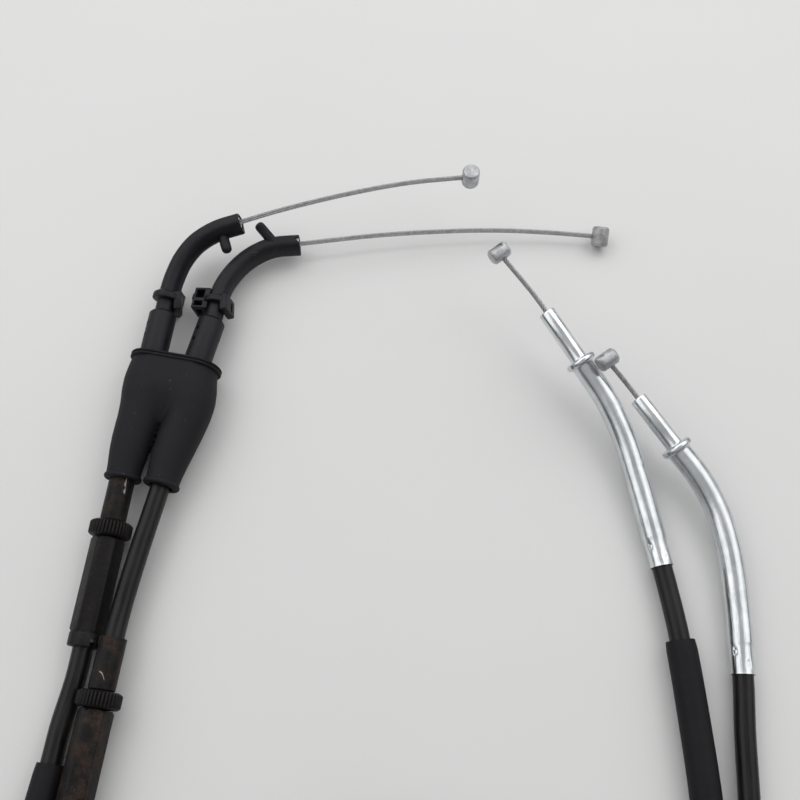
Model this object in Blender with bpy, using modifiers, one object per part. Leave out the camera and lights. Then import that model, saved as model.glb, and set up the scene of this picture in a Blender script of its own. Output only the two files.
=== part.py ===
"""A pair of motorcycle throttle cables, laid out on a flat surface.

The pull cable opens the throttle and the return cable closes it. Each runs from a moulded elbow, which
screws into the twist grip housing, through a shared rubber boot and a screw adjuster, to a bent steel tube
at the throttle body. A stranded inner wire with a barrel nipple at each end slides through the whole length.

Lengths are written in millimetres and turned into metres where they are used. +Z is up, and the surface
that the cables lie on is z = 0. Piece names starting with pull_ and return_ belong to the two cables.
"""

import math

import bmesh
import bpy
from mathutils import Matrix, Vector
from mathutils.geometry import interpolate_bezier

MM = 0.001
GAP = 0.3  # clearance left between two pieces that touch on the real object

# Driving dimensions, in millimetres.
WIRE_RADIUS = 0.75
CONDUIT_RADIUS = 2.7
SOCKET_RADIUS = CONDUIT_RADIUS + GAP  # bore of anything that a conduit's end goes into
WIRE_BORE = WIRE_RADIUS + GAP
THREAD_RADIUS = 2.95  # M6 x 1
NUT_BORE = THREAD_RADIUS + GAP
NUT_RADIUS = 5.75
NUT_LENGTH = 4.2
NUT_RIBS = 36
BOLT_TUBE_RADIUS = 3.5
BOLT_TUBE_LENGTH = 13.2
BOLT_SOCKET_DEPTH = 8.0
THREAD_LENGTH = 24.0
BARREL_FLATS = 8.0
BARREL_LENGTH = 29.0
BARREL_COLLAR_LENGTH = 3.6
BARREL_COLLAR_RADIUS = 4.35
BARREL_LIP = 1.2
SEAT_RADIUS = 3.25
SEAT_LENGTH = 3.0
SEAT_CHAMBER = 4.5
FERRULE_RADIUS = 4.0
FERRULE_LENGTH = 22.0
FERRULE_SOCKET = 5.5
ELBOW_WIDTH = 5.7
ELBOW_SPIGOT_RADIUS = 2.7
SPIGOT_LENGTH = 5.0
ELBOW_BORE = 1.5
LINER_RADIUS = 1.8
LINER_LENGTH = 6.0
PEG_RADIUS = 1.55
TUBE_RADIUS = 3.35
TUBE_NOSE_RADIUS = 2.45
TUBE_BORE = 1.9
TUBE_LINER_RADIUS = 1.6
FLANGE_RADIUS = 4.5
FLANGE_THICKNESS = 1.4
CRIMP_LENGTH = 8.0
CRIMP_SQUEEZE = 0.25
BOOT_WALL = 1.3
LEG_RADIUS = 6.7
LEG_END_RADIUS = 4.75
LEG_TAPER_START = 0.25  # share of a leg's length above which it keeps its full radius
WEB_WIDTH = 13.5
WEB_LENGTH = 15.0
RIM_RADIUS = 7.15
RIM_LENGTH = 1.3
TIE_WIDTH = 4.0
TIE_THICKNESS = 0.8

# The middle of everything but the free cables, in the layout's own millimetres.
LAYOUT_CENTRE = (3.0, -24.6)

# Each cable's places on the surface, in the layout's own millimetres.
PULL = {
    "name": "pull",
    "elbow": [(-70.2, 26.6, 7.6), (-69.4, 31.0, 8.0), (-68.3, 36.3, 8.7), (-66.1, 41.9, 9.7),
              (-62.2, 47.0, 11.0), (-56.1, 50.6, 12.5), (-48.2, 52.6, 14.0)],
    "ferrule_end": (-73.0, 5.1, 7.1),
    "boot_leg": [(-72.3, 8.4, 7.15), (-72.91, 5.46, 7.15), (-73.7, -4.0, 7.1), (-76.15, -20.0, 7.05),
                 (-77.05, -27.0, 6.7)],
    "peg": {"at": (-53.9, 49.5, 11.6), "along": (0.30, -0.95, -0.1), "length": 6.0},
    "clip_turn": math.radians(-92),
    "skirt_turn": math.radians(-170),
    "mark_turn": math.radians(30),
    "grip_wire": [(-48.2, 52.7, 14.0), (-39.3, 55.3, 14.9), (-30.0, 57.7, 15.7), (-15.5, 60.9, 16.9),
                  (2.4, 63.8, 18.3), (21.4, 65.1, 19.6)],
    "grip_nipple_axis": (0.0, -0.08, 1.0),
    "grip_nipple": {"radius": 2.65, "length": 6.3},
    "nut": (-78.8, -41.0, 6.0),
    "adjuster_along": (-0.125, -0.991, -0.05),
    "upper_conduit": [(-74.0, 0.5, 7.05), (-74.9, -8.0, 7.1), (-75.6, -15.0, 7.15)],
    "tube": [(67.0, -4.5, 12.0), (77.1, -18.4, 9.0), (83.0, -26.4, 7.2), (87.2, -35.5, 5.7),
             (89.4, -46.5, 4.6), (89.8, -60.0, 3.8), (88.9, -78.9, 3.4)],
    "carb_nipple_at": (58.0, 4.8, 17.5),
    "carb_nipple_axis": (0.83, 0.55, 0.10),
}
RETURN = {
    "name": "return",
    "elbow": [(-55.4, 24.4, 7.0), (-54.9, 28.5, 6.8), (-54.0, 33.6, 6.6), (-51.4, 39.1, 6.3),
              (-46.7, 44.8, 6.1), (-39.8, 48.9, 6.0), (-31.0, 50.0, 6.0)],
    "ferrule_end": (-60.6, 3.4, 7.1),
    "boot_leg": [(-58.8, 5.6, 7.15), (-59.41, 2.66, 7.15), (-60.9, -7.0, 7.0), (-64.3, -21.0, 6.9),
                 (-66.2, -29.0, 6.8)],
    "peg": {"at": (-38.4, 48.9, 7.2), "along": (-0.66, 0.70, 0.34), "length": 8.4},
    "clip_turn": math.radians(-10),
    "skirt_turn": math.radians(165),
    "mark_turn": math.radians(52),
    "grip_wire": [(-31.0, 50.0, 6.0), (-22.0, 51.4, 5.7), (-8.0, 53.4, 5.3), (12.0, 55.2, 4.8),
                  (32.0, 56.0, 4.2), (48.0, 55.6, 3.5), (62.8, 54.2, 3.5)],
    "grip_nipple_axis": (0.10, 0.86, 0.50),
    "grip_nipple": {"radius": 2.6, "length": 6.0},
    "nut": (-76.4, -85.4, 6.3),
    "adjuster_along": (-0.125, -0.992, 0.0),
    "upper_conduit": [(-61.6, -1.0, 7.0), (-63.0, -12.0, 7.0), (-66.3, -29.0, 6.8), (-71.0, -50.0, 6.3),
                      (-73.7, -64.0, 6.0)],
    "tube": [(42.2, 20.7, 16.0), (51.8, 6.7, 12.0), (58.6, -3.5, 9.2), (63.3, -14.5, 6.8),
             (66.3, -26.0, 5.0), (68.8, -38.5, 3.9), (70.9, -50.6, 3.6)],
    "carb_nipple_at": (28.8, 37.4, 21.0),
    "carb_nipple_axis": (0.80, 0.58, 0.10),
}
CARB_NIPPLE = {"radius": 2.35, "length": 5.8}

# The free length of the two cables: the pair's own middle line, and each cable's way to and from it.
PAIR_SPACING = 7.4
LOOP = [(-86.0, -138.0, 4.2), (-84.0, -156.0, 4.1), (-74.5, -182.0, 4.1), (-51.0, -204.5, 4.1),
        (-20.0, -214.5, 4.1), (14.0, -212.0, 3.6), (41.0, -195.0, 2.8), (54.5, -168.0, 2.8),
        (48.5, -140.0, 2.8), (27.0, -124.6, 2.8), (-2.0, -120.6, 2.8), (-31.0, -126.8, 2.8),
        (-50.5, -145.0, 2.8), (-54.0, -168.0, 3.2), (-43.0, -188.5, 4.0), (-18.0, -199.6, 4.6),
        (10.0, -197.2, 8.6), (33.0, -189.5, 9.7), (52.0, -178.5, 9.9), (67.0, -162.0, 8.3),
        (76.6, -142.0, 4.6)]
PULL_LEAD = [(-86.2, -92.0, 3.8), (-87.4, -102.0, 4.0), (-89.0, -112.0, 4.1)]
PULL_TAIL = [(84.6, -126.0, 3.1), (86.4, -108.8, 3.0), (87.6, -92.0, 3.3)]
RETURN_TAIL = [(75.0, -126.0, 4.2), (75.4, -108.8, 4.2), (74.7, -90.0, 4.2), (73.2, -68.0, 4.1)]
TIE_AT = (-19.0, -207.0, 4.4)
TIE_STRANDS = 4

SLEEVES = {
    "pull_grip_sleeve": {"cable": "pull", "wall": 0.4, "from": 0.042, "to": 0.19},
    "return_carb_sleeve": {"cable": "return", "wall": 0.7, "from": 0.83, "to": 0.959},
}


# ---- scene, materials and placing ----

def clear_scene():
    for obj in list(bpy.data.objects):
        bpy.data.objects.remove(obj, do_unlink=True)


def new_collection(name):
    made = bpy.data.collections.new(name)
    bpy.context.scene.collection.children.link(made)
    return made


def new_material(name, colour, roughness, metallic=0.0):
    made = bpy.data.materials.new(name)
    made.use_nodes = True
    shader = made.node_tree.nodes["Principled BSDF"]
    shader.inputs["Base Color"].default_value = (*colour, 1.0)
    shader.inputs["Roughness"].default_value = roughness
    shader.inputs["Metallic"].default_value = metallic
    return made


def finish(name, kind):
    """The piece's own material, in one of the finishes below."""
    return new_material(name + "_finish", *FINISHES[kind])


FINISHES = {
    "black_plastic": ((0.012, 0.012, 0.014), 0.42),
    "black_rubber": ((0.016, 0.016, 0.017), 0.62),
    "cable_jacket": ((0.014, 0.013, 0.013), 0.34),
    "sleeve": ((0.013, 0.013, 0.013), 0.7),
    "black_steel": ((0.028, 0.025, 0.022), 0.38, 0.8),
    "bright_steel": ((0.62, 0.63, 0.64), 0.3, 1.0),
    "zinc_plate": ((0.72, 0.74, 0.75), 0.22, 1.0),
    "white_liner": ((0.8, 0.8, 0.78), 0.4),
}


def at(point):
    """A layout point in metres, with the middle of the fittings over the origin."""
    x, y, z = point
    return Vector((x - LAYOUT_CENTRE[0], y - LAYOUT_CENTRE[1], z)) * MM


def standing(origin, along, turn=0.0):
    """The matrix that stands a piece's own +Z along a direction, with its own +Y as high as it can be."""
    rotation = Vector(along).to_track_quat("Z", "Y").to_matrix().to_4x4()
    return Matrix.Translation(origin) @ rotation @ Matrix.Rotation(turn, 4, "Z")


def add_mesh(name, mesh, matrix=None, helper=False):
    obj = bpy.data.objects.new(name, mesh)
    if matrix is not None:
        obj.matrix_world = matrix
    if helper:
        cutters.objects.link(obj)
        obj.hide_render = True
        obj.display_type = "WIRE"
    else:
        parts.objects.link(obj)
    return obj


def close_mesh(mesh):
    """Welds a mesh's seams and turns its faces outwards."""
    made = bmesh.new()
    made.from_mesh(mesh)
    bmesh.ops.remove_doubles(made, verts=made.verts, dist=1e-7)
    bmesh.ops.recalc_face_normals(made, faces=made.faces)
    made.to_mesh(mesh)
    made.free()
    mesh.shade_smooth()
    mesh.set_sharp_from_angle(angle=math.radians(35))


def as_mesh(obj, name, helper=False):
    """Turns a curve into a closed mesh object in the same place, and removes the curve."""
    obj.name = name + "_curve"
    bpy.context.view_layer.update()
    graph = bpy.context.evaluated_depsgraph_get()
    mesh = bpy.data.meshes.new_from_object(obj.evaluated_get(graph))
    close_mesh(mesh)
    made = add_mesh(name, mesh, obj.matrix_world.copy(), helper)
    bpy.data.objects.remove(obj)
    return made


def boolean(obj, other, operation):
    step = obj.modifiers.new(operation.lower() + "_" + other.name, "BOOLEAN")
    step.operation = operation
    step.object = other
    step.solver = "EXACT"


def cut(obj, *others):
    for other in others:
        boolean(obj, other, "DIFFERENCE")


def join(obj, *others):
    for other in others:
        boolean(obj, other, "UNION")


# ---- shapes ----

def turned(name, profile, matrix, steps=16, helper=False):
    """A turned piece about its own Z. The profile is (radius, height), down the outside and up the bore."""
    mesh = bpy.data.meshes.new(name)
    points = [(radius * MM, 0.0, height * MM) for radius, height in profile]
    solid = profile[0][0] == 0 and profile[-1][0] == 0
    edges = [(i, i + 1) for i in range(len(points) - 1)]
    if not solid:
        edges.append((len(points) - 1, 0))
    mesh.from_pydata(points, edges, [])
    obj = add_mesh(name, mesh, matrix, helper)
    screw = obj.modifiers.new("turn", "SCREW")
    screw.steps = steps
    screw.render_steps = steps
    screw.use_merge_vertices = True
    screw.merge_threshold = 1e-6
    screw.use_smooth_shade = True
    return obj


def ring_profile(outer, inner, top, bottom, chamfer=0.0):
    """The profile of a plain bush, with its outer edges chamfered."""
    profile = [(outer - chamfer, top), (outer, top - chamfer), (outer, bottom + chamfer),
               (outer - chamfer, bottom), (inner, bottom), (inner, top)]
    return profile if chamfer else [(outer, top), (outer, bottom), (inner, bottom), (inner, top)]


def rod_profile(radius, top, bottom, chamfer=0.0):
    """The profile of a solid rod, with its edges chamfered."""
    if not chamfer:
        return [(0, top), (radius, top), (radius, bottom), (0, bottom)]
    return [(0, top), (radius - chamfer, top), (radius, top - chamfer), (radius, bottom + chamfer),
            (radius - chamfer, bottom), (0, bottom)]


def rod(name, radius, origin, along, top, bottom=0.0, steps=16, chamfer=0.0):
    """A helper rod from bottom to top along a direction."""
    return turned(name, rod_profile(radius, top, bottom, chamfer), standing(origin, along), steps, True)


def block(name, size, matrix):
    """A helper box about its own middle."""
    made = bmesh.new()
    bmesh.ops.create_cube(made, size=1.0)
    bmesh.ops.scale(made, vec=Vector(size) * MM, verts=made.verts)
    mesh = bpy.data.meshes.new(name)
    made.to_mesh(mesh)
    made.free()
    return add_mesh(name, mesh, matrix, helper=True)


def tangent_at(points, i):
    """The direction of a smooth curve where it passes a point: that of the arc through its neighbours."""
    if i in (0, len(points) - 1):
        return (points[min(i + 1, len(points) - 1)] - points[max(i - 1, 0)]).normalized()
    arriving = points[i] - points[i - 1]
    leaving = points[i + 1] - points[i]
    return (arriving.normalized() * leaving.length + leaving.normalized() * arriving.length).normalized()


def smooth_line(points):
    """Many points along a smooth curve through a route's own points."""
    line = []
    for i in range(len(points) - 1):
        start, end = points[i], points[i + 1]
        reach = (end - start).length / 3
        first = start + tangent_at(points, i) * reach
        second = end - tangent_at(points, i + 1) * reach
        line += interpolate_bezier(start, first, second, end, 33)[:-1]
    return line + [points[-1].copy()]


def spaced(line, step):
    """Points at equal steps along a line, both ends included."""
    lengths = [0.0]
    for i in range(1, len(line)):
        lengths.append(lengths[-1] + (line[i] - line[i - 1]).length)
    count = max(2, round(lengths[-1] / step) + 1)
    found = []
    index = 0
    for k in range(count):
        target = lengths[-1] * k / (count - 1)
        while index < len(line) - 2 and lengths[index + 1] < target:
            index += 1
        share = (target - lengths[index]) / max(lengths[index + 1] - lengths[index], 1e-12)
        found.append(line[index].lerp(line[index + 1], min(max(share, 0.0), 1.0)))
    return found


def stretch(line, start, end):
    """The part of a line between two shares of its length."""
    points = spaced(line, 0.5 * MM)
    last = len(points) - 1
    return points[round(start * last):round(end * last) + 1]


def line_length(line):
    return sum((b - a).length for a, b in zip(line, line[1:]))


def tube(name, points, radius, sides=2, radii=None):
    """A curve object with filled ends through the points. sides is its bevel resolution."""
    data = bpy.data.curves.new(name, "CURVE")
    data.dimensions = "3D"
    data.twist_mode = "Z_UP"
    data.bevel_depth = radius * MM
    data.bevel_resolution = sides
    data.use_fill_caps = True
    spline = data.splines.new("POLY")
    spline.points.add(len(points) - 1)
    for i, point in enumerate(points):
        spline.points[i].co = (*point, 1.0)
        spline.points[i].radius = radii[i] if radii else 1.0
    obj = bpy.data.objects.new(name, data)
    parts.objects.link(obj)
    return obj


def swept(name, points, outline):
    """A closed mesh whose outline, in millimetres, is swept along the points with its own Y upwards."""
    flat = bpy.data.curves.new(name + "_outline", "CURVE")
    flat.dimensions = "2D"
    ring = flat.splines.new("POLY")
    ring.points.add(len(outline) - 1)
    ring.use_cyclic_u = True
    for i, (x, y) in enumerate(outline):
        ring.points[i].co = (x * MM, y * MM, 0.0, 1.0)
    guide = bpy.data.objects.new(name + "_outline", flat)
    cutters.objects.link(guide)
    guide.hide_render = True
    path = tube(name + "_path", points, 0.0)
    path.data.bevel_mode = "OBJECT"
    path.data.bevel_object = guide
    made = as_mesh(path, name)
    bpy.data.objects.remove(guide)
    return made


def rounded_outline(width, height, radius, steps=2):
    """A rectangle with round corners."""
    outline = []
    for quarter, (sx, sy) in enumerate(((1, 1), (-1, 1), (-1, -1), (1, -1))):
        for k in range(steps + 1):
            angle = math.radians(90 * quarter + 90 * k / steps)
            outline.append((sx * (width / 2 - radius) + radius * math.cos(angle),
                            sy * (height / 2 - radius) + radius * math.sin(angle)))
    return outline


# ---- the elbow end ----

def elbow_line(cable):
    return smooth_line([at(p) for p in cable["elbow"]])


def latch_pieces(name, cable, origin, along):
    """The collar, clip box and slotted skirt at an elbow's foot. Returns (joined shapes, cut shapes)."""
    collar = turned(name + "_collar", rod_profile(4.3, 1.1, -1.1, 0.3), standing(origin, along), helper=True)
    clip = standing(origin, along, cable["clip_turn"])
    box = block(name + "_clip", (5.0, 6.0, 7.1), clip @ Matrix.Translation(Vector((4.2, 0, 0.25)) * MM))
    window = block(name + "_window", (2.6, 5.0, 2.8), clip @ Matrix.Translation(Vector((4.6, 2.4, 1.5)) * MM))
    cell = block(name + "_cell", (2.6, 5.0, 1.7), clip @ Matrix.Translation(Vector((4.6, 2.4, -1.7)) * MM))
    skirt_place = standing(origin, along, cable["skirt_turn"])
    skirt = block(name + "_skirt", (2.2, 6.4, 5.0), skirt_place @ Matrix.Translation(Vector((3.5, 0, -0.9)) * MM))
    slot = block(name + "_slot", (0.8, 4.4, 12), skirt_place @ Matrix.Translation(Vector((3.9, 0, 0)) * MM))
    return (collar, box, skirt), (window, cell, slot)


def make_elbow(cable):
    """The moulded elbow: swept body, foot with its clip pocket, locating peg, spigot and wire passage."""
    name = cable["name"] + "_elbow"
    line = elbow_line(cable)
    top, foot = at(cable["elbow"][0]), at(cable["elbow"][1])
    ferrule_axis = (top - at(cable["ferrule_end"])).normalized()
    body_line = [p for p in line if (p - top).length > (foot - top).length]
    elbow = swept(name, spaced(body_line, 4.0 * MM), rounded_outline(ELBOW_WIDTH, ELBOW_WIDTH, 2.0))
    joined, windows = latch_pieces(name, cable, foot, body_line[4] - body_line[0])
    neck = as_mesh(tube(name + "_neck", spaced(line[:50], 1.6 * MM), ELBOW_SPIGOT_RADIUS, 3), name + "_neck", True)
    spigot = rod(name + "_spigot", ELBOW_SPIGOT_RADIUS, top, ferrule_axis, 0.4, -SPIGOT_LENGTH)
    peg_place = cable["peg"]
    peg = rod(name + "_peg", PEG_RADIUS, at(peg_place["at"]), peg_place["along"], peg_place["length"],
              chamfer=0.6)
    inward = line[-20] - line[-1]
    passage_line = [top - ferrule_axis * (SPIGOT_LENGTH + 1) * MM] + line
    passage = as_mesh(tube(name + "_bore", spaced(passage_line, 3.2 * MM), ELBOW_BORE), name + "_bore", True)
    counterbore = rod(name + "_mouth", LINER_RADIUS + GAP, line[-1], inward, LINER_LENGTH + 2 * GAP, -2.0)
    join(elbow, *joined, neck, spigot, peg)
    cut(elbow, *windows, passage, counterbore)
    elbow.data.materials.append(finish(name, "black_plastic"))


def make_elbow_liner(cable):
    """The slippery bush at the elbow's mouth that the wire runs out through."""
    name = cable["name"] + "_elbow_liner"
    line = elbow_line(cable)
    profile = ring_profile(LINER_RADIUS, WIRE_BORE, LINER_LENGTH, GAP, 0.2)
    liner = turned(name, profile, standing(line[-1], line[-20] - line[-1]), 16)
    liner.data.materials.append(finish(name, "white_liner"))


def ferrule_frame(cable):
    """The ferrule's place: its top edge, and its own +Z up towards the elbow."""
    end = at(cable["ferrule_end"])
    up = at(cable["elbow"][0]) - end
    return standing(end, up)


def make_ferrule(cable):
    """The crimped sleeve that holds the elbow's spigot to the conduit, with its two punch marks."""
    name = cable["name"] + "_elbow_ferrule"
    spigot_bore = ELBOW_SPIGOT_RADIUS + GAP
    middle = FERRULE_LENGTH - 9.5
    profile = [(FERRULE_RADIUS - 0.8, FERRULE_LENGTH), (FERRULE_RADIUS, FERRULE_LENGTH - 0.9),
               (FERRULE_RADIUS, 0.4), (FERRULE_RADIUS - 0.4, 0), (SOCKET_RADIUS, 0),
               (SOCKET_RADIUS, FERRULE_SOCKET), (ELBOW_BORE, FERRULE_SOCKET), (ELBOW_BORE, middle),
               (spigot_bore, middle), (spigot_bore, FERRULE_LENGTH)]
    frame = ferrule_frame(cable)
    ferrule = turned(name, profile, frame)
    for k, height in enumerate((FERRULE_LENGTH - 5.5, FERRULE_LENGTH - 9.2)):
        side = frame @ Matrix.Rotation(cable["mark_turn"], 4, "Z")
        mark = turned(f"{name}_mark{k}", rod_profile(0.55, 1.0, -0.55),
                      side @ Matrix.Translation(Vector((FERRULE_RADIUS, 0, height)) * MM)
                      @ Matrix.Rotation(math.radians(90), 4, "Y"), 8, True)
        cut(ferrule, mark)
    ferrule.data.materials.append(finish(name, "black_plastic"))


# ---- boot and upper conduits ----

def leg_line(cable):
    """The path of a boot leg, from the rim down to the leg's end."""
    return smooth_line([at(p) for p in cable["boot_leg"]])


def leg_tubes(name, upper_radius, end_radii, beyond):
    """The two legs as tapering tubes, each running that far beyond its ends."""
    pieces = []
    for cable, end_radius in zip((PULL, RETURN), end_radii):
        points = spaced(leg_line(cable), 5.0 * MM)
        first = points[0] + (points[0] - points[1]).normalized() * beyond * MM
        last = points[-1] + (points[-1] - points[-2]).normalized() * beyond * MM
        points = [first] + points[1:-1] + [last]
        radii = []
        for i in range(len(points)):
            taper = min(max((i / (len(points) - 1) - LEG_TAPER_START) / (1 - LEG_TAPER_START), 0.0), 1.0)
            radii.append(upper_radius + (end_radius - upper_radius) * taper)
        piece_name = f"{name}_{cable['name']}"
        pieces.append(as_mesh(tube(piece_name, points, 1.0, 3, radii), piece_name, helper=True))
    return pieces


def make_boot():
    """The rubber Y boot: one wide mouth over both ferrules, and a leg with a rolled end round each cable."""
    name = "rubber_boot"
    left, right = leg_tubes(name + "_outer", LEG_RADIUS, (LEG_END_RADIUS, LEG_END_RADIUS), 0.0)
    holes = (BOLT_TUBE_RADIUS + GAP, SOCKET_RADIUS)
    hollows = leg_tubes(name + "_inner", LEG_RADIUS - BOOT_WALL, holes, 1.6)
    lines = [leg_line(PULL), leg_line(RETURN)]
    middle = (lines[0][0] + lines[1][0]) / 2
    across = (lines[1][0] - lines[0][0]).normalized()
    down = Vector((across.y, -across.x, 0.0))
    basis = Matrix((across, down, across.cross(down))).transposed().to_4x4()

    def slab(part, length, start, thickness):
        place = Matrix.Translation(middle + down * (start + length / 2) * MM) @ basis
        return block(f"{name}_{part}", (WEB_WIDTH, length, thickness), place)

    joined = [right, slab("web", WEB_LENGTH, 0.0, 2 * LEG_RADIUS - 0.1)]
    joined.append(slab("rim_web", RIM_LENGTH, 0.0, 2 * RIM_RADIUS - 0.1))
    for k, line in enumerate(lines):
        joined.append(rod(f"{name}_rim{k}", RIM_RADIUS, line[0], down, RIM_LENGTH, 0.0, 20))
        joined.append(rod(f"{name}_end{k}", LEG_END_RADIUS + 0.35, line[-1], line[-8] - line[-1], 1.6, 0.0))
    removed = [*hollows, slab("web_hollow", WEB_LENGTH, -BOOT_WALL, 2 * (LEG_RADIUS - BOOT_WALL) - 0.1)]
    boot = as_mesh(left, name)
    join(boot, *joined)
    cut(boot, *removed)
    boot.data.materials.append(finish(name, "black_rubber"))


# ---- adjuster ----

def adjuster_axis(cable):
    return Vector(cable["adjuster_along"]).normalized()


def bolt_top(cable):
    """The upper end of the adjuster's tube."""
    return at(cable["nut"]) - adjuster_axis(cable) * (NUT_LENGTH / 2 + GAP + BOLT_TUBE_LENGTH) * MM


def adjuster_matrix(cable, along_mm):
    """A place on the adjuster's axis, that far below the nut's upper face, with +Z back up to the grip."""
    start = at(cable["nut"]) - adjuster_axis(cable) * NUT_LENGTH / 2 * MM
    return standing(start + adjuster_axis(cable) * along_mm * MM, -adjuster_axis(cable))


def make_bolt(cable):
    """The fixed half of the adjuster: a tube that takes the upper conduit, and the hollow M6 screw."""
    name = cable["name"] + "_adjuster_bolt"
    top = BOLT_TUBE_LENGTH
    profile = [(BOLT_TUBE_RADIUS - 0.3, top), (BOLT_TUBE_RADIUS, top - 0.3), (BOLT_TUBE_RADIUS, 0.3),
               (BOLT_TUBE_RADIUS - 0.3, 0), (THREAD_RADIUS - 0.4, -0.2), (THREAD_RADIUS, -0.8),
               (THREAD_RADIUS, 0.5 - THREAD_LENGTH), (THREAD_RADIUS - 0.5, -THREAD_LENGTH),
               (WIRE_BORE, -THREAD_LENGTH), (WIRE_BORE, top - BOLT_SOCKET_DEPTH),
               (SOCKET_RADIUS, top - BOLT_SOCKET_DEPTH), (SOCKET_RADIUS, top)]
    bolt = turned(name, profile, adjuster_matrix(cable, -GAP), 18)
    bolt.data.materials.append(finish(name, "black_steel"))


def knurled_outline(radius, ribs, depth):
    outline = []
    for k in range(2 * ribs):
        angle = math.pi * k / ribs
        reach = radius if k % 2 else radius - depth
        outline.append((reach * math.cos(angle), reach * math.sin(angle)))
    return outline


def prism(name, outline, height, matrix, helper=False):
    """A flat outline raised from z = 0 to height."""
    made = bmesh.new()
    ring = [made.verts.new((x * MM, y * MM, 0.0)) for x, y in outline]
    face = made.faces.new(ring)
    raised = bmesh.ops.extrude_face_region(made, geom=[face])
    top = [v for v in raised["geom"] if isinstance(v, bmesh.types.BMVert)]
    bmesh.ops.translate(made, vec=(0, 0, height * MM), verts=top)
    bmesh.ops.recalc_face_normals(made, faces=made.faces)
    mesh = bpy.data.meshes.new(name)
    made.to_mesh(mesh)
    made.free()
    return add_mesh(name, mesh, matrix, helper)


def make_lock_nut(cable):
    """The knurled ring that locks the barrel on the screw."""
    name = cable["name"] + "_lock_nut"
    frame = adjuster_matrix(cable, NUT_LENGTH)
    nut = prism(name, knurled_outline(NUT_RADIUS, NUT_RIBS, 0.35), NUT_LENGTH, frame)
    hole = turned(name + "_hole", rod_profile(NUT_BORE, NUT_LENGTH + 1, -1), frame, helper=True)
    cut(nut, hole)
    nut.data.materials.append(finish(name, "black_steel"))


def make_barrel(cable):
    """The hexagonal half of the adjuster, which screws along the bolt and holds the long conduit's seat."""
    name = cable["name"] + "_adjuster_barrel"
    frame = adjuster_matrix(cable, NUT_LENGTH + GAP + BARREL_LENGTH)
    corner = BARREL_FLATS / math.sqrt(3)
    hexagon = [(corner * math.cos(math.radians(60 * k + 12)), corner * math.sin(math.radians(60 * k + 12)))
               for k in range(6)]
    barrel = prism(name, hexagon, BARREL_LENGTH, frame)
    collar = turned(name + "_collar", rod_profile(BARREL_COLLAR_RADIUS, BARREL_COLLAR_LENGTH, 0, 0.3),
                    frame, helper=True)
    chamber_top = BARREL_LIP + SEAT_CHAMBER
    bore = turned(name + "_bore", [(0, BARREL_LENGTH + 1), (NUT_BORE, BARREL_LENGTH + 1),
                                   (NUT_BORE, chamber_top + 0.5), (SEAT_RADIUS + GAP, chamber_top),
                                   (SEAT_RADIUS + GAP, BARREL_LIP), (SOCKET_RADIUS, BARREL_LIP),
                                   (SOCKET_RADIUS, -1), (0, -1)], frame, helper=True)
    slot_place = frame @ Matrix.Rotation(math.radians(138), 4, "Z")
    slot = block(name + "_slot", (4.0, 1.5, 5.2), slot_place @ Matrix.Translation(Vector((4.2, 0, 0)) * MM))
    join(barrel, collar)
    cut(barrel, bore, slot)
    barrel.data.materials.append(finish(name, "black_steel"))


def make_seat(cable):
    """The washer-like cup in the barrel that the long conduit's end pushes on."""
    name = cable["name"] + "_conduit_seat"
    frame = adjuster_matrix(cable, NUT_LENGTH + GAP + BARREL_LENGTH - BARREL_LIP - GAP)
    seat = turned(name, ring_profile(SEAT_RADIUS, WIRE_BORE, SEAT_LENGTH, 0, 0.2), frame)
    seat.data.materials.append(finish(name, "bright_steel"))


# ---- conduits ----

def upper_conduit_line(cable):
    """From the ferrule's socket to the adjuster's socket."""
    ferrule = ferrule_frame(cable)
    start = ferrule @ (Vector((0, 0, FERRULE_SOCKET - GAP)) * MM)
    ferrule_mouth = ferrule @ (Vector((0, 0, -1.0)) * MM)
    end = bolt_top(cable) + adjuster_axis(cable) * (BOLT_SOCKET_DEPTH - GAP) * MM
    bolt_mouth = bolt_top(cable) - adjuster_axis(cable) * 1.0 * MM
    return smooth_line([start, ferrule_mouth] + [at(p) for p in cable["upper_conduit"]] + [bolt_mouth, end])


def make_upper_conduit(cable):
    name = cable["name"] + "_upper_conduit"
    conduit = tube(name, spaced(upper_conduit_line(cable), 5.0 * MM), CONDUIT_RADIUS, 3)
    conduit.data.materials.append(finish(name, "cable_jacket"))


def beside_loop(side):
    """The loop's points moved half the spacing to one side of the pair's middle line: 1 outside, -1 inside."""
    found = []
    for i, point in enumerate(LOOP):
        before = Vector(LOOP[max(i - 1, 0)])
        after = Vector(LOOP[min(i + 1, len(LOOP) - 1)])
        heading = (after - before).xy.normalized()
        outwards = Vector((heading.y, -heading.x, 0.0))
        found.append(Vector(point) + outwards * side * PAIR_SPACING / 2)
    return found


def tube_foot(cable):
    """The bent tube's lower end, and the direction out of it."""
    line = smooth_line([at(p) for p in cable["tube"]])
    return line[-1], (line[-1] - line[-6]).normalized()


def conduit_line(cable):
    """The long conduit: out of the adjuster, round the loop and into the bent tube."""
    seat = adjuster_matrix(cable, NUT_LENGTH + GAP + BARREL_LENGTH - BARREL_LIP)
    start = seat.translation
    below = seat @ (Vector((0, 0, -8.0)) * MM)
    foot, outwards = tube_foot(cable)
    end = foot - outwards * (CRIMP_LENGTH - 2) * MM
    if cable is PULL:
        points = PULL_LEAD + beside_loop(1) + PULL_TAIL
    else:
        points = beside_loop(-1) + RETURN_TAIL
    return smooth_line([start, below] + [at(p) for p in points] + [foot + outwards * 2 * MM, end])


def make_conduit(cable):
    name = cable["name"] + "_conduit"
    conduit = tube(name, spaced(conduit_line(cable), 12.0 * MM), CONDUIT_RADIUS, 2)
    conduit.data.materials.append(finish(name, "cable_jacket"))


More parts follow.
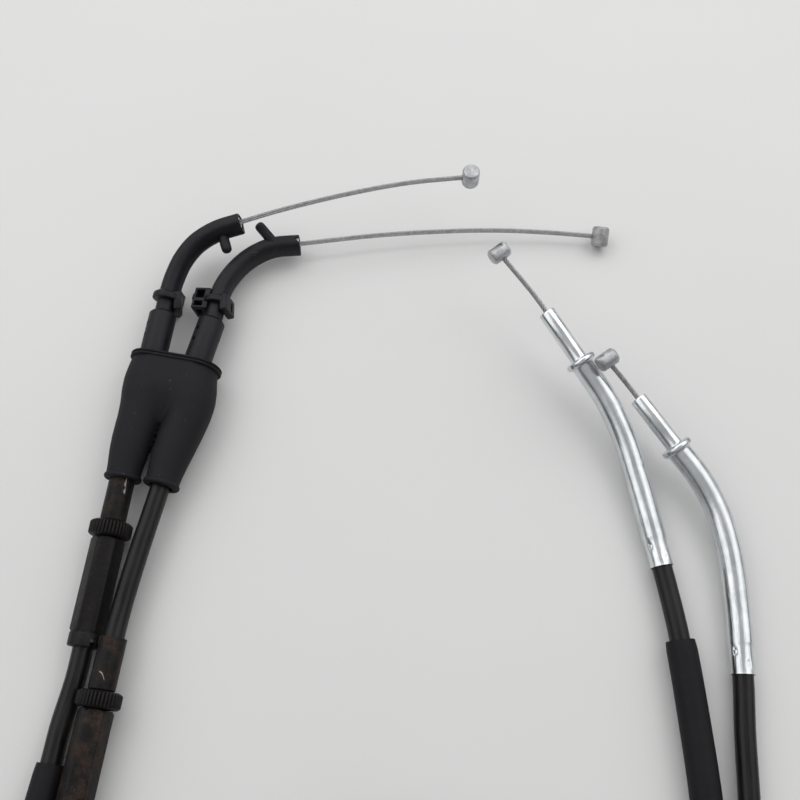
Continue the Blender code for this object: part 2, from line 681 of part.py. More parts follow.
def make_sleeve(name, place):
    """A shrunk-on outer sleeve over part of a conduit."""
    cable = PULL if place["cable"] == "pull" else RETURN
    line = conduit_line(cable)
    points = spaced(stretch(line, place["from"], place["to"]), 6.0 * MM)
    inner_radius = CONDUIT_RADIUS + 2 * GAP
    sleeve = as_mesh(tube(name, points, inner_radius + place["wall"], 2), name)
    longer = [points[0] * 2 - points[1]] + points[1:-1] + [points[-1] * 2 - points[-2]]
    bore = as_mesh(tube(name + "_bore", longer, inner_radius, 2), name + "_bore", helper=True)
    cut(sleeve, bore)
    sleeve.data.materials.append(finish(name, "sleeve"))


def make_tie():
    """A flat tie round the four strands where the loop's turns lie side by side."""
    name = "coil_tie"
    line = smooth_line([at(p) for p in LOOP])
    place = at(TIE_AT)
    near = min(range(1, len(line) - 1), key=lambda i: (line[i] - place).length)
    heading = line[near + 1] - line[near - 1]
    heading.z = 0.0
    frame = standing(place, heading) @ Matrix.Translation(Vector((0, 0, -TIE_WIDTH / 2)) * MM)
    width = (TIE_STRANDS - 1) * PAIR_SPACING + 2 * CONDUIT_RADIUS + 1.0
    height = 2 * CONDUIT_RADIUS + 1.6
    outer = rounded_outline(width + 2 * TIE_THICKNESS, height + 2 * TIE_THICKNESS, height / 2, 4)
    inner = rounded_outline(width, height, height / 2 - TIE_THICKNESS, 4)
    tie = prism(name, outer, TIE_WIDTH, frame)
    hole = prism(name + "_hole", inner, TIE_WIDTH + 2, frame @ Matrix.Translation((0, 0, -MM)), True)
    cut(tie, hole)
    tie.data.materials.append(finish(name, "black_plastic"))


# ---- the throttle body end ----

def make_tube(cable):
    """The bent steel tube: straight nose, stop flange, bend, and the end that is crimped on the conduit."""
    name = cable["name"] + "_bent_tube"
    places = [at(p) for p in cable["tube"]]
    line = smooth_line(places)
    mouth, flange = places[0], places[1]
    outwards = (mouth - flange).normalized()
    nose_length = (mouth - flange).length / MM
    below_flange = [flange] + line[34:]
    crimp_share = 1 - CRIMP_LENGTH * MM / line_length(below_flange)
    points = spaced(below_flange, 4.6 * MM)
    radii = []
    for i in range(len(points)):
        share = i / (len(points) - 1)
        squeezed = share > crimp_share and i < len(points) - 1
        radii.append(1.0 - CRIMP_SQUEEZE / TUBE_RADIUS if squeezed else 1.0)
    body = as_mesh(tube(name, points, TUBE_RADIUS, 4, radii), name)
    nose = turned(name + "_nose", [(0, nose_length), (TUBE_NOSE_RADIUS - 0.3, nose_length),
                                   (TUBE_NOSE_RADIUS, nose_length - 0.3), (TUBE_NOSE_RADIUS, 0.2),
                                   (TUBE_NOSE_RADIUS, -1.5), (0, -1.5)],
                  standing(flange, outwards), 20, True)
    stop = turned(name + "_flange", rod_profile(FLANGE_RADIUS, FLANGE_THICKNESS / 2, -FLANGE_THICKNESS / 2, 0.3),
                  standing(flange, outwards), 20, True)
    foot, downwards = tube_foot(cable)
    wire_line = [mouth + outwards * MM] + line + [foot + downwards * MM]
    wire_bore = as_mesh(tube(name + "_wire_bore", spaced(wire_line, 4.0 * MM), ELBOW_BORE, 2),
                        name + "_wire_bore", helper=True)
    nose_bore = rod(name + "_nose_bore", TUBE_BORE, mouth, -outwards, nose_length - 3, -1.0, 20)
    socket = rod(name + "_socket", SOCKET_RADIUS - 0.02, foot, -downwards, CRIMP_LENGTH - 1.5, -1.0, 20)
    join(body, nose, stop)
    cut(body, wire_bore, nose_bore, socket)
    body.data.materials.append(finish(name, "zinc_plate"))


def make_tube_liner(cable):
    """The slippery bush inside the bent tube's nose."""
    name = cable["name"] + "_tube_liner"
    mouth, flange = at(cable["tube"][0]), at(cable["tube"][1])
    length = (mouth - flange).length / MM - 4
    liner = turned(name, ring_profile(TUBE_LINER_RADIUS, WIRE_BORE, length, GAP),
                   standing(mouth, flange - mouth), 16)
    liner.data.materials.append(finish(name, "white_liner"))


# ---- inner wires and nipples ----

def make_nipple(name, place, axis, wire_from, size):
    """A barrel nipple about its own Z, drilled from one side for the wire. Its origin is on the wire."""
    half = size["length"] / 2
    nipple = turned(name, rod_profile(size["radius"], half, -half, 0.45), standing(place, axis), 18)
    drill = rod(name + "_drill", WIRE_BORE + 0.05, place, wire_from - place, size["radius"] + 2, -1.4, 12)
    cut(nipple, drill)
    nipple.data.materials.append(finish(name, "bright_steel"))


def make_wire(name, line):
    wire = tube(name, spaced(line, 3.5 * MM), WIRE_RADIUS, 2)
    wire.data.materials.append(finish(name, "bright_steel"))


def make_grip_end(cable):
    """The long exposed wire at the twist grip, from inside the elbow's mouth to its nipple."""
    places = [at(p) for p in cable["grip_wire"]]
    line = smooth_line(places)
    elbow = elbow_line(cable)
    make_nipple(cable["name"] + "_grip_nipple", places[-1], cable["grip_nipple_axis"], line[-20],
                cable["grip_nipple"])
    hidden = [p for p in elbow if (p - elbow[-1]).length < (LINER_LENGTH + 3) * MM]
    make_wire(cable["name"] + "_grip_wire", hidden[:-1] + line)


def make_carb_end(cable):
    """The short exposed wire at the throttle body, from inside the tube's nose to its nipple."""
    nipple = at(cable["carb_nipple_at"])
    mouth, flange = at(cable["tube"][0]), at(cable["tube"][1])
    outwards = (mouth - flange).normalized()
    line = smooth_line([mouth.lerp(flange, 0.9), mouth.lerp(flange, 0.5), mouth, mouth + outwards * 2 * MM,
                        nipple])
    make_nipple(cable["name"] + "_carb_nipple", nipple, cable["carb_nipple_axis"], line[-20], CARB_NIPPLE)
    make_wire(cable["name"] + "_carb_wire", line)


# ---- building ----

def build():
    for cable in (PULL, RETURN):
        make_elbow(cable)
        make_elbow_liner(cable)
        make_ferrule(cable)
        make_upper_conduit(cable)
        make_bolt(cable)
        make_lock_nut(cable)
        make_barrel(cable)
        make_seat(cable)
        make_conduit(cable)
        make_tube(cable)
        make_tube_liner(cable)
        make_grip_end(cable)
        make_carb_end(cable)
    for name, place in SLEEVES.items():
        make_sleeve(name, place)
    make_boot()
    make_tie()


clear_scene()
parts = new_collection("throttle_cables")
cutters = new_collection("cutters")
build()
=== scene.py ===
"""The looks of the throttle cable pair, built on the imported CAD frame.

Each visible piece is built in millimetres in the CAD part's layout, and at() turns a layout point into one of
the row frame. +Z is up, the surface is z = 0, and names start with pull_ or return_ for the two cables.
"""

import math

import bmesh
import bpy
from mathutils import Matrix, Vector
from mathutils.geometry import interpolate_bezier


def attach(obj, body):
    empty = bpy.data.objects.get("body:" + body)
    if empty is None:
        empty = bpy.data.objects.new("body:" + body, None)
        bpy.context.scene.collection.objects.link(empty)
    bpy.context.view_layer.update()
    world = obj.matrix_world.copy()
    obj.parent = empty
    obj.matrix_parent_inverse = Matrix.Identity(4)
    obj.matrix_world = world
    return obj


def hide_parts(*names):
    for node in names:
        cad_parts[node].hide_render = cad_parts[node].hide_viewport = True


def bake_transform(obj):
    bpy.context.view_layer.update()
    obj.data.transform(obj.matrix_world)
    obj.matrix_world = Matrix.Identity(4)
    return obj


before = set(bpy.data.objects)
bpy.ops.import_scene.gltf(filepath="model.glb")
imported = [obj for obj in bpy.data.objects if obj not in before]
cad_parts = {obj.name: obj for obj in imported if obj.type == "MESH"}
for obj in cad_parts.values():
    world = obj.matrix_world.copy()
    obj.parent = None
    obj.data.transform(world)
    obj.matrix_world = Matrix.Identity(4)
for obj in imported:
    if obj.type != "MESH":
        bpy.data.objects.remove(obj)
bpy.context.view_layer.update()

MM = 0.001
UP = Vector((0.0, 0.0, 1.0))
ROOT = "cable_outers"
LAYOUT_CENTRE = (3.0, -24.6)

# Radii and lengths, in millimetres.
WIRE_RADIUS = 0.75
CONDUIT_RADIUS = 2.7
SOCKET_RADIUS = CONDUIT_RADIUS + 0.3
SLEEVE_INNER = 3.3
ELBOW_WIDTH = 5.7
ELBOW_NECK_RADIUS = 2.7
FERRULE_RADIUS = 4.0
FERRULE_LENGTH = 20.1
FERRULE_SOCKET = 5.5
GAP = 0.3
NUT_LENGTH = 4.2
NUT_RADIUS = 5.75
BARREL_FLAT = 4.0
BARREL_LENGTH = 29.0
BARREL_LIP = 1.2
BARREL_END = NUT_LENGTH + GAP + BARREL_LENGTH
BOLT_TUBE_RADIUS = 3.5
BOLT_TUBE_LENGTH = 13.2
BOLT_SOCKET_DEPTH = 8.0
NOSE_RADIUS = 2.45
FLANGE_RADIUS = 4.5
TUBE_RADIUS = 3.35
CRIMP_LENGTH = 8.0
CURVE_STEPS = 32

# ---- camera, as the object is seen ----

CAMERA_HEIGHT = 258.0
CAMERA_TILT = math.radians(23.0)
CAMERA_LENS = 42.75

# ---- routes ----
# These are the CAD part's, but for the tops of the boot's legs and the foot of the pull elbow.

PULL = {
    "name": "pull",
    "elbow": [(-70.2, 26.6, 7.6), (-69.7, 29.8, 7.9), (-68.3, 36.3, 8.7), (-66.1, 41.9, 9.7),
              (-62.2, 47.0, 11.0), (-56.1, 50.6, 12.5), (-48.2, 52.6, 14.0)],
    "ferrule_end": (-73.0, 5.1, 7.1),
    "boot_leg": [(-71.4, 9.8, 7.15), (-71.98, 6.86, 7.15), (-73.2, -4.0, 7.1), (-76.15, -20.0, 7.05),
                 (-77.05, -27.0, 6.7)],
    "peg": {"at": (-53.9, 49.5, 11.6), "along": (0.30, -0.95, -0.1), "length": 6.0},
    "clip_turn": math.radians(-92),
    "skirt_turn": math.radians(-170),
    "mouth_notch": False,
    "mark_turn": math.radians(36),
    "grip_wire": [(-48.2, 52.7, 14.0), (-39.3, 55.3, 14.9), (-30.0, 57.7, 15.7), (-15.5, 60.9, 16.9),
                  (2.4, 63.8, 18.3), (21.4, 65.1, 19.6)],
    "grip_nipple_axis": (0.0, -0.08, 1.0),
    "grip_nipple": {"radius": 2.65, "length": 6.3},
    "nut": (-78.8, -41.0, 6.0),
    "adjuster_along": (-0.125, -0.991, -0.05),
    "upper_conduit": [(-74.0, 0.5, 7.05), (-74.9, -8.0, 7.1), (-75.6, -15.0, 7.15)],
    "tube": [(67.0, -4.5, 12.0), (77.1, -18.4, 9.0), (83.0, -26.4, 7.2), (87.2, -35.5, 5.7),
             (89.4, -46.5, 4.6), (89.8, -60.0, 3.8), (88.9, -78.9, 3.4)],
    "carb_nipple_at": (58.0, 4.8, 17.5),
    "carb_nipple_axis": (0.83, 0.55, 0.10),
}
RETURN = {
    "name": "return",
    "elbow": [(-55.4, 24.4, 7.0), (-54.9, 28.5, 6.8), (-54.0, 33.6, 6.6), (-51.4, 39.1, 6.3),
              (-46.7, 44.8, 6.1), (-39.8, 48.9, 6.0), (-31.0, 50.0, 6.0)],
    "ferrule_end": (-60.6, 3.4, 7.1),
    "boot_leg": [(-58.8, 7.4, 7.15), (-59.38, 4.46, 7.15), (-60.4, -7.0, 7.0), (-64.3, -21.0, 6.9),
                 (-66.2, -29.0, 6.8)],
    "peg": {"at": (-38.4, 48.9, 7.2), "along": (-0.66, 0.70, 0.34), "length": 8.4},
    "clip_turn": math.radians(-10),
    "skirt_turn": math.radians(165),
    "mouth_notch": True,
    "mark_turn": math.radians(52),
    "grip_wire": [(-31.0, 50.0, 6.0), (-22.0, 51.4, 5.7), (-8.0, 53.4, 5.3), (12.0, 55.2, 4.8),
                  (32.0, 56.0, 4.2), (48.0, 55.6, 3.5), (62.8, 54.2, 3.5)],
    "grip_nipple_axis": (0.10, 0.86, 0.50),
    "grip_nipple": {"radius": 2.6, "length": 6.0},
    "nut": (-76.4, -85.4, 6.3),
    "adjuster_along": (-0.125, -0.992, 0.0),
    "upper_conduit": [(-61.6, -1.0, 7.0), (-63.0, -12.0, 7.0), (-66.3, -29.0, 6.8), (-71.0, -50.0, 6.3),
                      (-73.7, -64.0, 6.0)],
    "tube": [(42.2, 20.7, 16.0), (51.8, 6.7, 12.0), (58.6, -3.5, 9.2), (63.3, -14.5, 6.8),
             (66.3, -26.0, 5.0), (68.8, -38.5, 3.9), (70.9, -50.6, 3.6)],
    "carb_nipple_at": (28.8, 37.4, 21.0),
    "carb_nipple_axis": (0.80, 0.58, 0.10),
}
CARB_NIPPLE = {"radius": 2.35, "length": 5.8}
PULL_GROOVE = {"turn": math.radians(60), "size": (0.7, 0.9, 2.4), "shift": -1.7}
RETURN_GROOVE = {"turn": math.radians(62), "size": (1.1, 1.5, 4.2), "shift": -0.4}
PAIR_SPACING = 7.4
LOOP = [(-86.0, -138.0, 4.2), (-84.0, -156.0, 4.1), (-74.5, -182.0, 4.1), (-51.0, -204.5, 4.1),
        (-20.0, -214.5, 4.1), (14.0, -212.0, 3.6), (41.0, -195.0, 2.8), (54.5, -168.0, 2.8),
        (48.5, -140.0, 2.8), (27.0, -124.6, 2.8), (-2.0, -120.6, 2.8), (-31.0, -126.8, 2.8),
        (-50.5, -145.0, 2.8), (-54.0, -168.0, 3.2), (-43.0, -188.5, 4.0), (-18.0, -199.6, 4.6),
        (10.0, -197.2, 8.6), (33.0, -189.5, 9.7), (52.0, -178.5, 9.9), (67.0, -162.0, 8.3),
        (76.6, -142.0, 4.6)]
PULL_LEAD = [(-86.2, -92.0, 3.8), (-87.4, -102.0, 4.0), (-89.0, -112.0, 4.1)]
PULL_TAIL = [(84.6, -126.0, 3.1), (86.4, -108.8, 3.0), (87.6, -92.0, 3.3)]
RETURN_TAIL = [(75.0, -126.0, 4.2), (75.4, -108.8, 4.2), (74.7, -90.0, 4.2), (73.2, -68.0, 4.1)]
SLEEVES = {
    "pull_grip_sleeve": {"cable": PULL, "wall": 0.4, "from": 0.042, "to": 0.19},
    "return_carb_sleeve": {"cable": RETURN, "wall": 0.7, "from": 0.83, "to": 0.959},
}


# ---- placing and lines ----

def at(point):
    """A layout point in metres, in the row frame."""
    x, y, z = point
    return Vector((x - LAYOUT_CENTRE[0], y - LAYOUT_CENTRE[1], z)) * MM


def standing(origin, along, turn=0.0):
    """The matrix that stands a piece's own +Z along a direction, with its own +Y as high as it can be."""
    rotation = Vector(along).to_track_quat("Z", "Y").to_matrix().to_4x4()
    return Matrix.Translation(origin) @ rotation @ Matrix.Rotation(turn, 4, "Z")


def shifted(matrix, x=0.0, y=0.0, z=0.0):
    return matrix @ Matrix.Translation(Vector((x, y, z)) * MM)


def tangent_at(points, i):
    """The direction of a smooth curve where it passes a point: that of the arc through its neighbours."""
    if i in (0, len(points) - 1):
        return (points[min(i + 1, len(points) - 1)] - points[max(i - 1, 0)]).normalized()
    arriving = points[i] - points[i - 1]
    leaving = points[i + 1] - points[i]
    return (arriving.normalized() * leaving.length + leaving.normalized() * arriving.length).normalized()


def smooth_line(points):
    """Many points along a smooth curve through a route's own points."""
    line = []
    for i in range(len(points) - 1):
        start, end = points[i], points[i + 1]
        reach = (end - start).length / 3
        first = start + tangent_at(points, i) * reach
        second = end - tangent_at(points, i + 1) * reach
        line += interpolate_bezier(start, first, second, end, CURVE_STEPS + 1)[:-1]
    return line + [points[-1].copy()]


def line_length(line):
    return sum((b - a).length for a, b in zip(line, line[1:]))


def spaced(line, step):
    """Points at equal steps along a line, both ends included."""
    lengths = [0.0]
    for i in range(1, len(line)):
        lengths.append(lengths[-1] + (line[i] - line[i - 1]).length)
    count = max(2, round(lengths[-1] / step) + 1)
    found = []
    index = 0
    for k in range(count):
        target = lengths[-1] * k / (count - 1)
        while index < len(line) - 2 and lengths[index + 1] < target:
            index += 1
        share = (target - lengths[index]) / max(lengths[index + 1] - lengths[index], 1e-12)
        found.append(line[index].lerp(line[index + 1], min(max(share, 0.0), 1.0)))
    return found


def stretch(line, start, end):
    """The part of a line between two shares of its length."""
    points = spaced(line, 0.5 * MM)
    last = len(points) - 1
    return points[round(start * last):round(end * last) + 1]


def frames_along(points):
    """A frame at each point with its Z along the line, its X sideways and its Y as high as it can be."""
    found = []
    last = len(points) - 1
    for i, point in enumerate(points):
        along = (points[min(i + 1, last)] - points[max(i - 1, 0)]).normalized()
        side = UP.cross(along).normalized()
        basis = Matrix((side, along.cross(side), along)).transposed().to_4x4()
        found.append(Matrix.Translation(point) @ basis)
    return found


# ---- outlines and meshes ----

def turned(radius_at, steps):
    """A closed outline whose radius depends on the turn, from its lowest point, so a seam faces the floor."""
    outline = []
    for k in range(steps):
        turn = 2 * math.pi * k / steps
        radius = radius_at(turn)
        outline.append((radius * math.sin(turn), -radius * math.cos(turn)))
    return outline


def circle(radius, steps):
    return turned(lambda turn: radius, steps)


def fillet(profile, radius, closed=False):
    """An outline or profile with its corners rounded off."""
    made = []
    for i, point in enumerate(profile):
        if not closed and i in (0, len(profile) - 1):
            made.append(tuple(point))
            continue
        here = Vector(point)
        before = Vector(profile[i - 1]) - here
        after = Vector(profile[(i + 1) % len(profile)]) - here
        start = here + before.normalized() * min(radius, before.length * 0.45)
        end = here + after.normalized() * min(radius, after.length * 0.45)
        for share in (0.0, 0.25, 0.5, 0.75, 1.0):
            spot = start * (1 - share) ** 2 + here * 2 * share * (1 - share) + end * share ** 2
            made.append(tuple(spot))
    return made


def ring(matrix, outline):
    return [matrix @ (Vector((x, y, 0.0)) * MM) for x, y in outline]


def skin(name, rings, loop=False, sharp=32):
    """A mesh through rings of as many points each, with filled ends or closed into a loop, and UVs in mm."""
    count = len(rings[0])
    faces = []
    corners = []
    along = 0.0
    pairs = [(i, i + 1) for i in range(len(rings) - 1)]
    if loop:
        pairs.append((len(rings) - 1, 0))
    for a, b in pairs:
        step = (rings[b][0] - rings[a][0]).length / MM
        around = sum((rings[a][k] - rings[a][k - 1]).length for k in range(count)) / MM
        for k in range(count):
            n = (k + 1) % count
            faces.append((a * count + k, a * count + n, b * count + n, b * count + k))
            left, right = around * k / count, around * (k + 1) / count
            corners += [(left, along), (right, along), (right, along + step), (left, along + step)]
        along += step
    if not loop:
        for start in (0, (len(rings) - 1) * count):
            faces.append(tuple(range(start, start + count)))
            corners += [(0.0, 0.0)] * count
    mesh = bpy.data.meshes.new(name)
    mesh.from_pydata([p for r in rings for p in r], [], faces)
    mesh.uv_layers.new(name="UVMap").data.foreach_set("uv", [v for uv in corners for v in uv])
    return shaded(name, mesh, sharp)


def shaded(name, mesh, sharp):
    """An object of the mesh, with its faces turned outwards and only its real edges sharp."""
    made = bmesh.new()
    made.from_mesh(mesh)
    bmesh.ops.recalc_face_normals(made, faces=made.faces)
    made.to_mesh(mesh)
    made.free()
    mesh.shade_smooth()
    mesh.set_sharp_from_angle(angle=math.radians(sharp))
    obj = bpy.data.objects.new(name, mesh)
    bpy.context.scene.collection.objects.link(obj)
    return obj


def round_rings(matrix, profile, steps):
    """Circles about the matrix's Z, one for each (radius, height) in mm."""
    return [ring(shifted(matrix, z=height), circle(radius, steps)) for radius, height in profile]


def lathe(name, profile, matrix, steps=64, hollow=False, soft=0.15):
    """A turned piece about the matrix's Z, with its profile's corners rounded off."""
    return skin(name, round_rings(matrix, fillet(profile, soft, closed=hollow), steps), loop=hollow)


def sweep(name, points, outline):
    return skin(name, [ring(place, outline) for place in frames_along(points)])


def block(name, size, matrix, soft=0.3):
    """A box about its own middle with round edges."""
    made = bmesh.new()
    bmesh.ops.create_cube(made, size=1.0)
    bmesh.ops.scale(made, vec=Vector(size) * MM, verts=made.verts)
    if soft:
        bmesh.ops.bevel(made, geom=made.edges[:], offset=soft * MM, segments=3, affect="EDGES", profile=0.5)
    bmesh.ops.transform(made, matrix=matrix, verts=made.verts)
    mesh = bpy.data.meshes.new(name)
    made.to_mesh(mesh)
    made.free()
    return shaded(name, mesh, 32)


def applied(obj):
    """Applies an object's modifiers to its mesh."""
    bpy.context.view_layer.update()
    graph = bpy.context.evaluated_depsgraph_get()
    mesh = bpy.data.meshes.new_from_object(obj.evaluated_get(graph))
    obj.modifiers.clear()
    obj.data = mesh
    return obj


def cut(obj, *others):
    """Takes the other objects' shapes out of this one, and removes them."""
    for other in others:
        step = obj.modifiers.new("cut", "BOOLEAN")
        step.operation = "DIFFERENCE"
        step.object = other
        step.solver = "EXACT"
    applied(obj)
    for other in others:
        bpy.data.objects.remove(other)
    obj.data.set_sharp_from_angle(angle=math.radians(32))
    return obj


def merged(name, *objects):
    """One object of several shells."""
    made = bmesh.new()
    for obj in objects:
        made.from_mesh(obj.data)
        bpy.data.objects.remove(obj)
    mesh = bpy.data.meshes.new(name)
    made.to_mesh(mesh)
    made.free()
    mesh.set_sharp_from_angle(angle=math.radians(32))
    obj = bpy.data.objects.new(name, mesh)
    bpy.context.scene.collection.objects.link(obj)
    return obj


def place(obj, material, slot, body=ROOT, nodes=()):
    """Gives a finished piece its material and body, and hides the CAD nodes that it stands for. slot is not
    used.
    """
    obj.data.materials.clear()
    obj.data.materials.append(material)
    if body:
        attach(obj, body)
    if nodes:
        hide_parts(*nodes)
    return obj


# ---- materials ----

SOCKETS = {"metallic": "Metallic", "specular_ior_level": "Specular IOR Level"}


class Recipe:
    """A material being made: a Principled shader and the nodes that drive its colour, roughness and bump."""

    def __init__(self, name, **constants):
        self.material = bpy.data.materials.new(name)
        self.material.use_nodes = True
        self.tree = self.material.node_tree
        self.shader = self.tree.nodes["Principled BSDF"]
        for socket, value in constants.items():
            self.shader.inputs[SOCKETS[socket]].default_value = value
        coordinates = self.tree.nodes.new("ShaderNodeTexCoord")
        self.sources = {"object": coordinates.outputs["Object"], "uv": coordinates.outputs["UV"]}

    def node(self, kind, **values):
        made = self.tree.nodes.new("ShaderNode" + kind)
        for key, value in values.items():
            setattr(made, key, value)
        return made

    def link(self, source, target):
        self.tree.links.new(source, target)

    def noise(self, scale, detail=4.0, roughness=0.55, source="object", stretch=(1.0, 1.0, 1.0)):
        """Cloudy noise. scale is per metre on object coordinates, and per millimetre on UVs."""
        mapping = self.node("Mapping")
        mapping.inputs["Scale"].default_value = stretch
        self.link(self.sources[source], mapping.inputs["Vector"])
        made = self.node("TexNoise")
        made.inputs["Scale"].default_value = scale
        made.inputs["Detail"].default_value = detail
        made.inputs["Roughness"].default_value = roughness
        self.link(mapping.outputs["Vector"], made.inputs["Vector"])
        return made.outputs["Fac"]

    def ramp(self, source, *stops):
        """Maps a value through (position, colour or grey) stops."""
        made = self.node("ValToRGB")
        elements = made.color_ramp.elements
        while len(elements) < len(stops):
            elements.new(0.5)
        for element, (position, value) in zip(elements, stops):
            colour = value if isinstance(value, tuple) else (value, value, value)
            element.position = position
            element.color = (*colour, 1.0)
        self.link(source, made.inputs["Fac"])
        return made.outputs["Color"]

    def between(self, source, low, high):
        """Goes from low to high over the middle of a noise's range."""
        return self.ramp(source, (0.3, low), (0.7, high))

    def blend(self, factor, first, second):
        """Mixes two colours. Each argument is a node's output or a fixed value."""
        made = self.node("Mix", data_type="RGBA")
        for socket, value in (("Factor", factor), ("A", first), ("B", second)):
            target = next(s for s in made.inputs if s.name == socket and s.enabled)
            if isinstance(value, bpy.types.NodeSocket):
                self.link(value, target)
            elif isinstance(value, tuple):
                target.default_value = (*value, 1.0)
            else:
                target.default_value = value
        return next(s for s in made.outputs if s.enabled)

    def finish(self, colour, roughness, bumps=()):
        """Connects the shader. Each bump is (height, how far it stands out in metres)."""
        self.link(colour, self.shader.inputs["Base Color"])
        self.link(roughness, self.shader.inputs["Roughness"])
        normal = None
        for height, distance in bumps:
            bump = self.node("Bump")
            bump.inputs["Distance"].default_value = distance
            bump.inputs["Strength"].default_value = 1.0
            self.link(height, bump.inputs["Height"])
            if normal is not None:
                self.link(normal, bump.inputs["Normal"])
            normal = bump.outputs["Normal"]
        if normal is not None:
            self.link(normal, self.shader.inputs["Normal"])
        return self.material


def moulded_plastic():
    """Black nylon: a soft sheen with a fine texture and a few scuffs."""
    recipe = Recipe("black_nylon", specular_ior_level=0.27)
    cloud = recipe.noise(260, 5)
    grain = recipe.noise(4200, 3)
    scuff = recipe.ramp(recipe.noise(520, 6, 0.7, stretch=(1, 2.5, 1)), (0.60, 0.0), (0.72, 1.0))
    base = recipe.between(cloud, (0.006, 0.006, 0.009), (0.012, 0.012, 0.016))
    colour = recipe.blend(scuff, base, (0.045, 0.045, 0.05))
    return recipe.finish(colour, recipe.between(cloud, 0.40, 0.54), [(grain, 0.00003)])


def boot_rubber():
    """Matte rubber with a skin-like grain, faint dusty patches and specks."""
    recipe = Recipe("boot_rubber", specular_ior_level=0.25)
    cloud = recipe.noise(110, 5)
    grain = recipe.noise(2600, 4)
    speck = recipe.ramp(recipe.noise(1500, 2, 0.5), (0.735, 0.0), (0.76, 1.0))
    base = recipe.between(cloud, (0.007, 0.007, 0.009), (0.013, 0.013, 0.016))
    colour = recipe.blend(speck, base, (0.10, 0.10, 0.10))
    return recipe.finish(colour, recipe.between(cloud, 0.60, 0.74),
                         [(grain, 0.00004), (recipe.noise(330, 2), 0.00008)])


def cable_jacket():
    """Smooth extruded jacket: brown-black and glossy, with lengthwise rub marks and dust."""
    recipe = Recipe("cable_jacket", specular_ior_level=0.28)
    cloud = recipe.noise(150, 4)
    rubs = recipe.ramp(recipe.noise(1.6, 5, 0.6, "uv", (1.0, 0.05, 1.0)), (0.52, 0.0), (0.72, 1.0))
    base = recipe.between(cloud, (0.006, 0.0055, 0.006), (0.011, 0.0095, 0.010))
    colour = recipe.blend(rubs, base, (0.020, 0.018, 0.018))
    roughness = recipe.blend(rubs, recipe.between(cloud, 0.26, 0.36), (0.46, 0.46, 0.46))
    return recipe.finish(colour, roughness, [(recipe.noise(0.35, 3, 0.5, "uv", (1.0, 0.4, 1.0)), 0.00010)])


def sleeve_plastic():
    """Shrunk-on sleeve: matte, with faint rings where it gripped."""
    recipe = Recipe("sleeve_plastic", specular_ior_level=0.18)
    cloud = recipe.noise(180, 5)
    folds = recipe.noise(0.5, 3, 0.5, "uv", (0.3, 1.0, 1.0))
    grain = recipe.noise(3400, 3)
    base = recipe.between(cloud, (0.007, 0.007, 0.009), (0.012, 0.012, 0.014))
    return recipe.finish(base, recipe.between(cloud, 0.50, 0.62), [(grain, 0.00002), (folds, 0.00012)])


def black_steel(name, brown, wear, scratched=False):
    """Black oxide steel. brown and wear set how much patina and bare metal show through."""
    recipe = Recipe(name, metallic=0.12, specular_ior_level=0.16)
    cloud = recipe.noise(230, 6, 0.62)
    fine = recipe.noise(1500, 5, 0.7)
    dark = recipe.ramp(fine, (0.3, (0.008, 0.007, 0.008)), (0.75, (0.018, 0.016, 0.016)))
    rusty = recipe.between(fine, (0.020, 0.013, 0.010), (0.048, 0.031, 0.022))
    patches = recipe.ramp(cloud, (0.62 - brown, 0.0), (0.78 - brown, 1.0))
    colour = recipe.blend(patches, dark, rusty)
    bare = recipe.ramp(recipe.noise(900, 6, 0.75), (0.70 - wear, 0.0), (0.74 - wear, 1.0))
    colour = recipe.blend(bare, colour, (0.12, 0.105, 0.095))
    if scratched:
        contours = recipe.noise(150, 1, 0.5, stretch=(1, 0.5, 1))
        strokes = recipe.ramp(contours, (0.488, 0.0), (0.5, 1.0), (0.512, 0.0))
        area = recipe.ramp(recipe.noise(210, 1), (0.50, 0.0), (0.54, 1.0))
        marks = recipe.blend(area, (0.0, 0.0, 0.0), strokes)
        colour = recipe.blend(marks, colour, (0.42, 0.41, 0.38))
    roughness = recipe.between(cloud, 0.34, 0.52)
    return recipe.finish(colour, roughness, [(fine, 0.00005), (recipe.noise(520, 3), 0.00008)])


def zinc_plate():
    """Bright zinc plate with drawing lines along the tube and slightly milky patches."""
    recipe = Recipe("zinc_plate", metallic=1.0)
    lines = recipe.noise(2.2, 5, 0.6, "uv", (1.0, 0.03, 1.0))
    cloud = recipe.noise(160, 5)
    colour = recipe.between(cloud, (0.60, 0.63, 0.65), (0.80, 0.825, 0.84))
    roughness = recipe.blend(0.5, recipe.between(lines, 0.10, 0.26), recipe.between(cloud, 0.12, 0.26))
    return recipe.finish(colour, roughness, [(lines, 0.00007), (recipe.noise(420, 3), 0.00002)])


def cast_metal(name, dark, light, bump):
    """A cast and plated nipple: grainy, with darker pits."""
    recipe = Recipe(name, metallic=0.85)
    grain = recipe.noise(1700, 6, 0.7)
    cloud = recipe.noise(420, 4)
    colour = recipe.blend(0.5, recipe.ramp(grain, (0.35, dark), (0.65, light)),
                          recipe.ramp(cloud, (0.35, dark), (0.65, light)))
    return recipe.finish(colour, recipe.between(grain, 0.34, 0.56), [(grain, bump), (cloud, bump * 1.5)])


def strand_steel():
    """Drawn steel wire: grey, half shiny and uneven."""
    recipe = Recipe("strand_steel", metallic=0.6)
    cloud = recipe.noise(900, 4)
    colour = recipe.between(cloud, (0.32, 0.32, 0.33), (0.54, 0.54, 0.55))
    return recipe.finish(colour, recipe.between(cloud, 0.30, 0.44))


def white_plastic():
    """Off-white plastic of the liners."""
    recipe = Recipe("white_liner")
    cloud = recipe.noise(700, 4)
    colour = recipe.between(cloud, (0.56, 0.56, 0.53), (0.74, 0.74, 0.71))
    return recipe.finish(colour, recipe.between(cloud, 0.36, 0.5), [(cloud, 0.00003)])


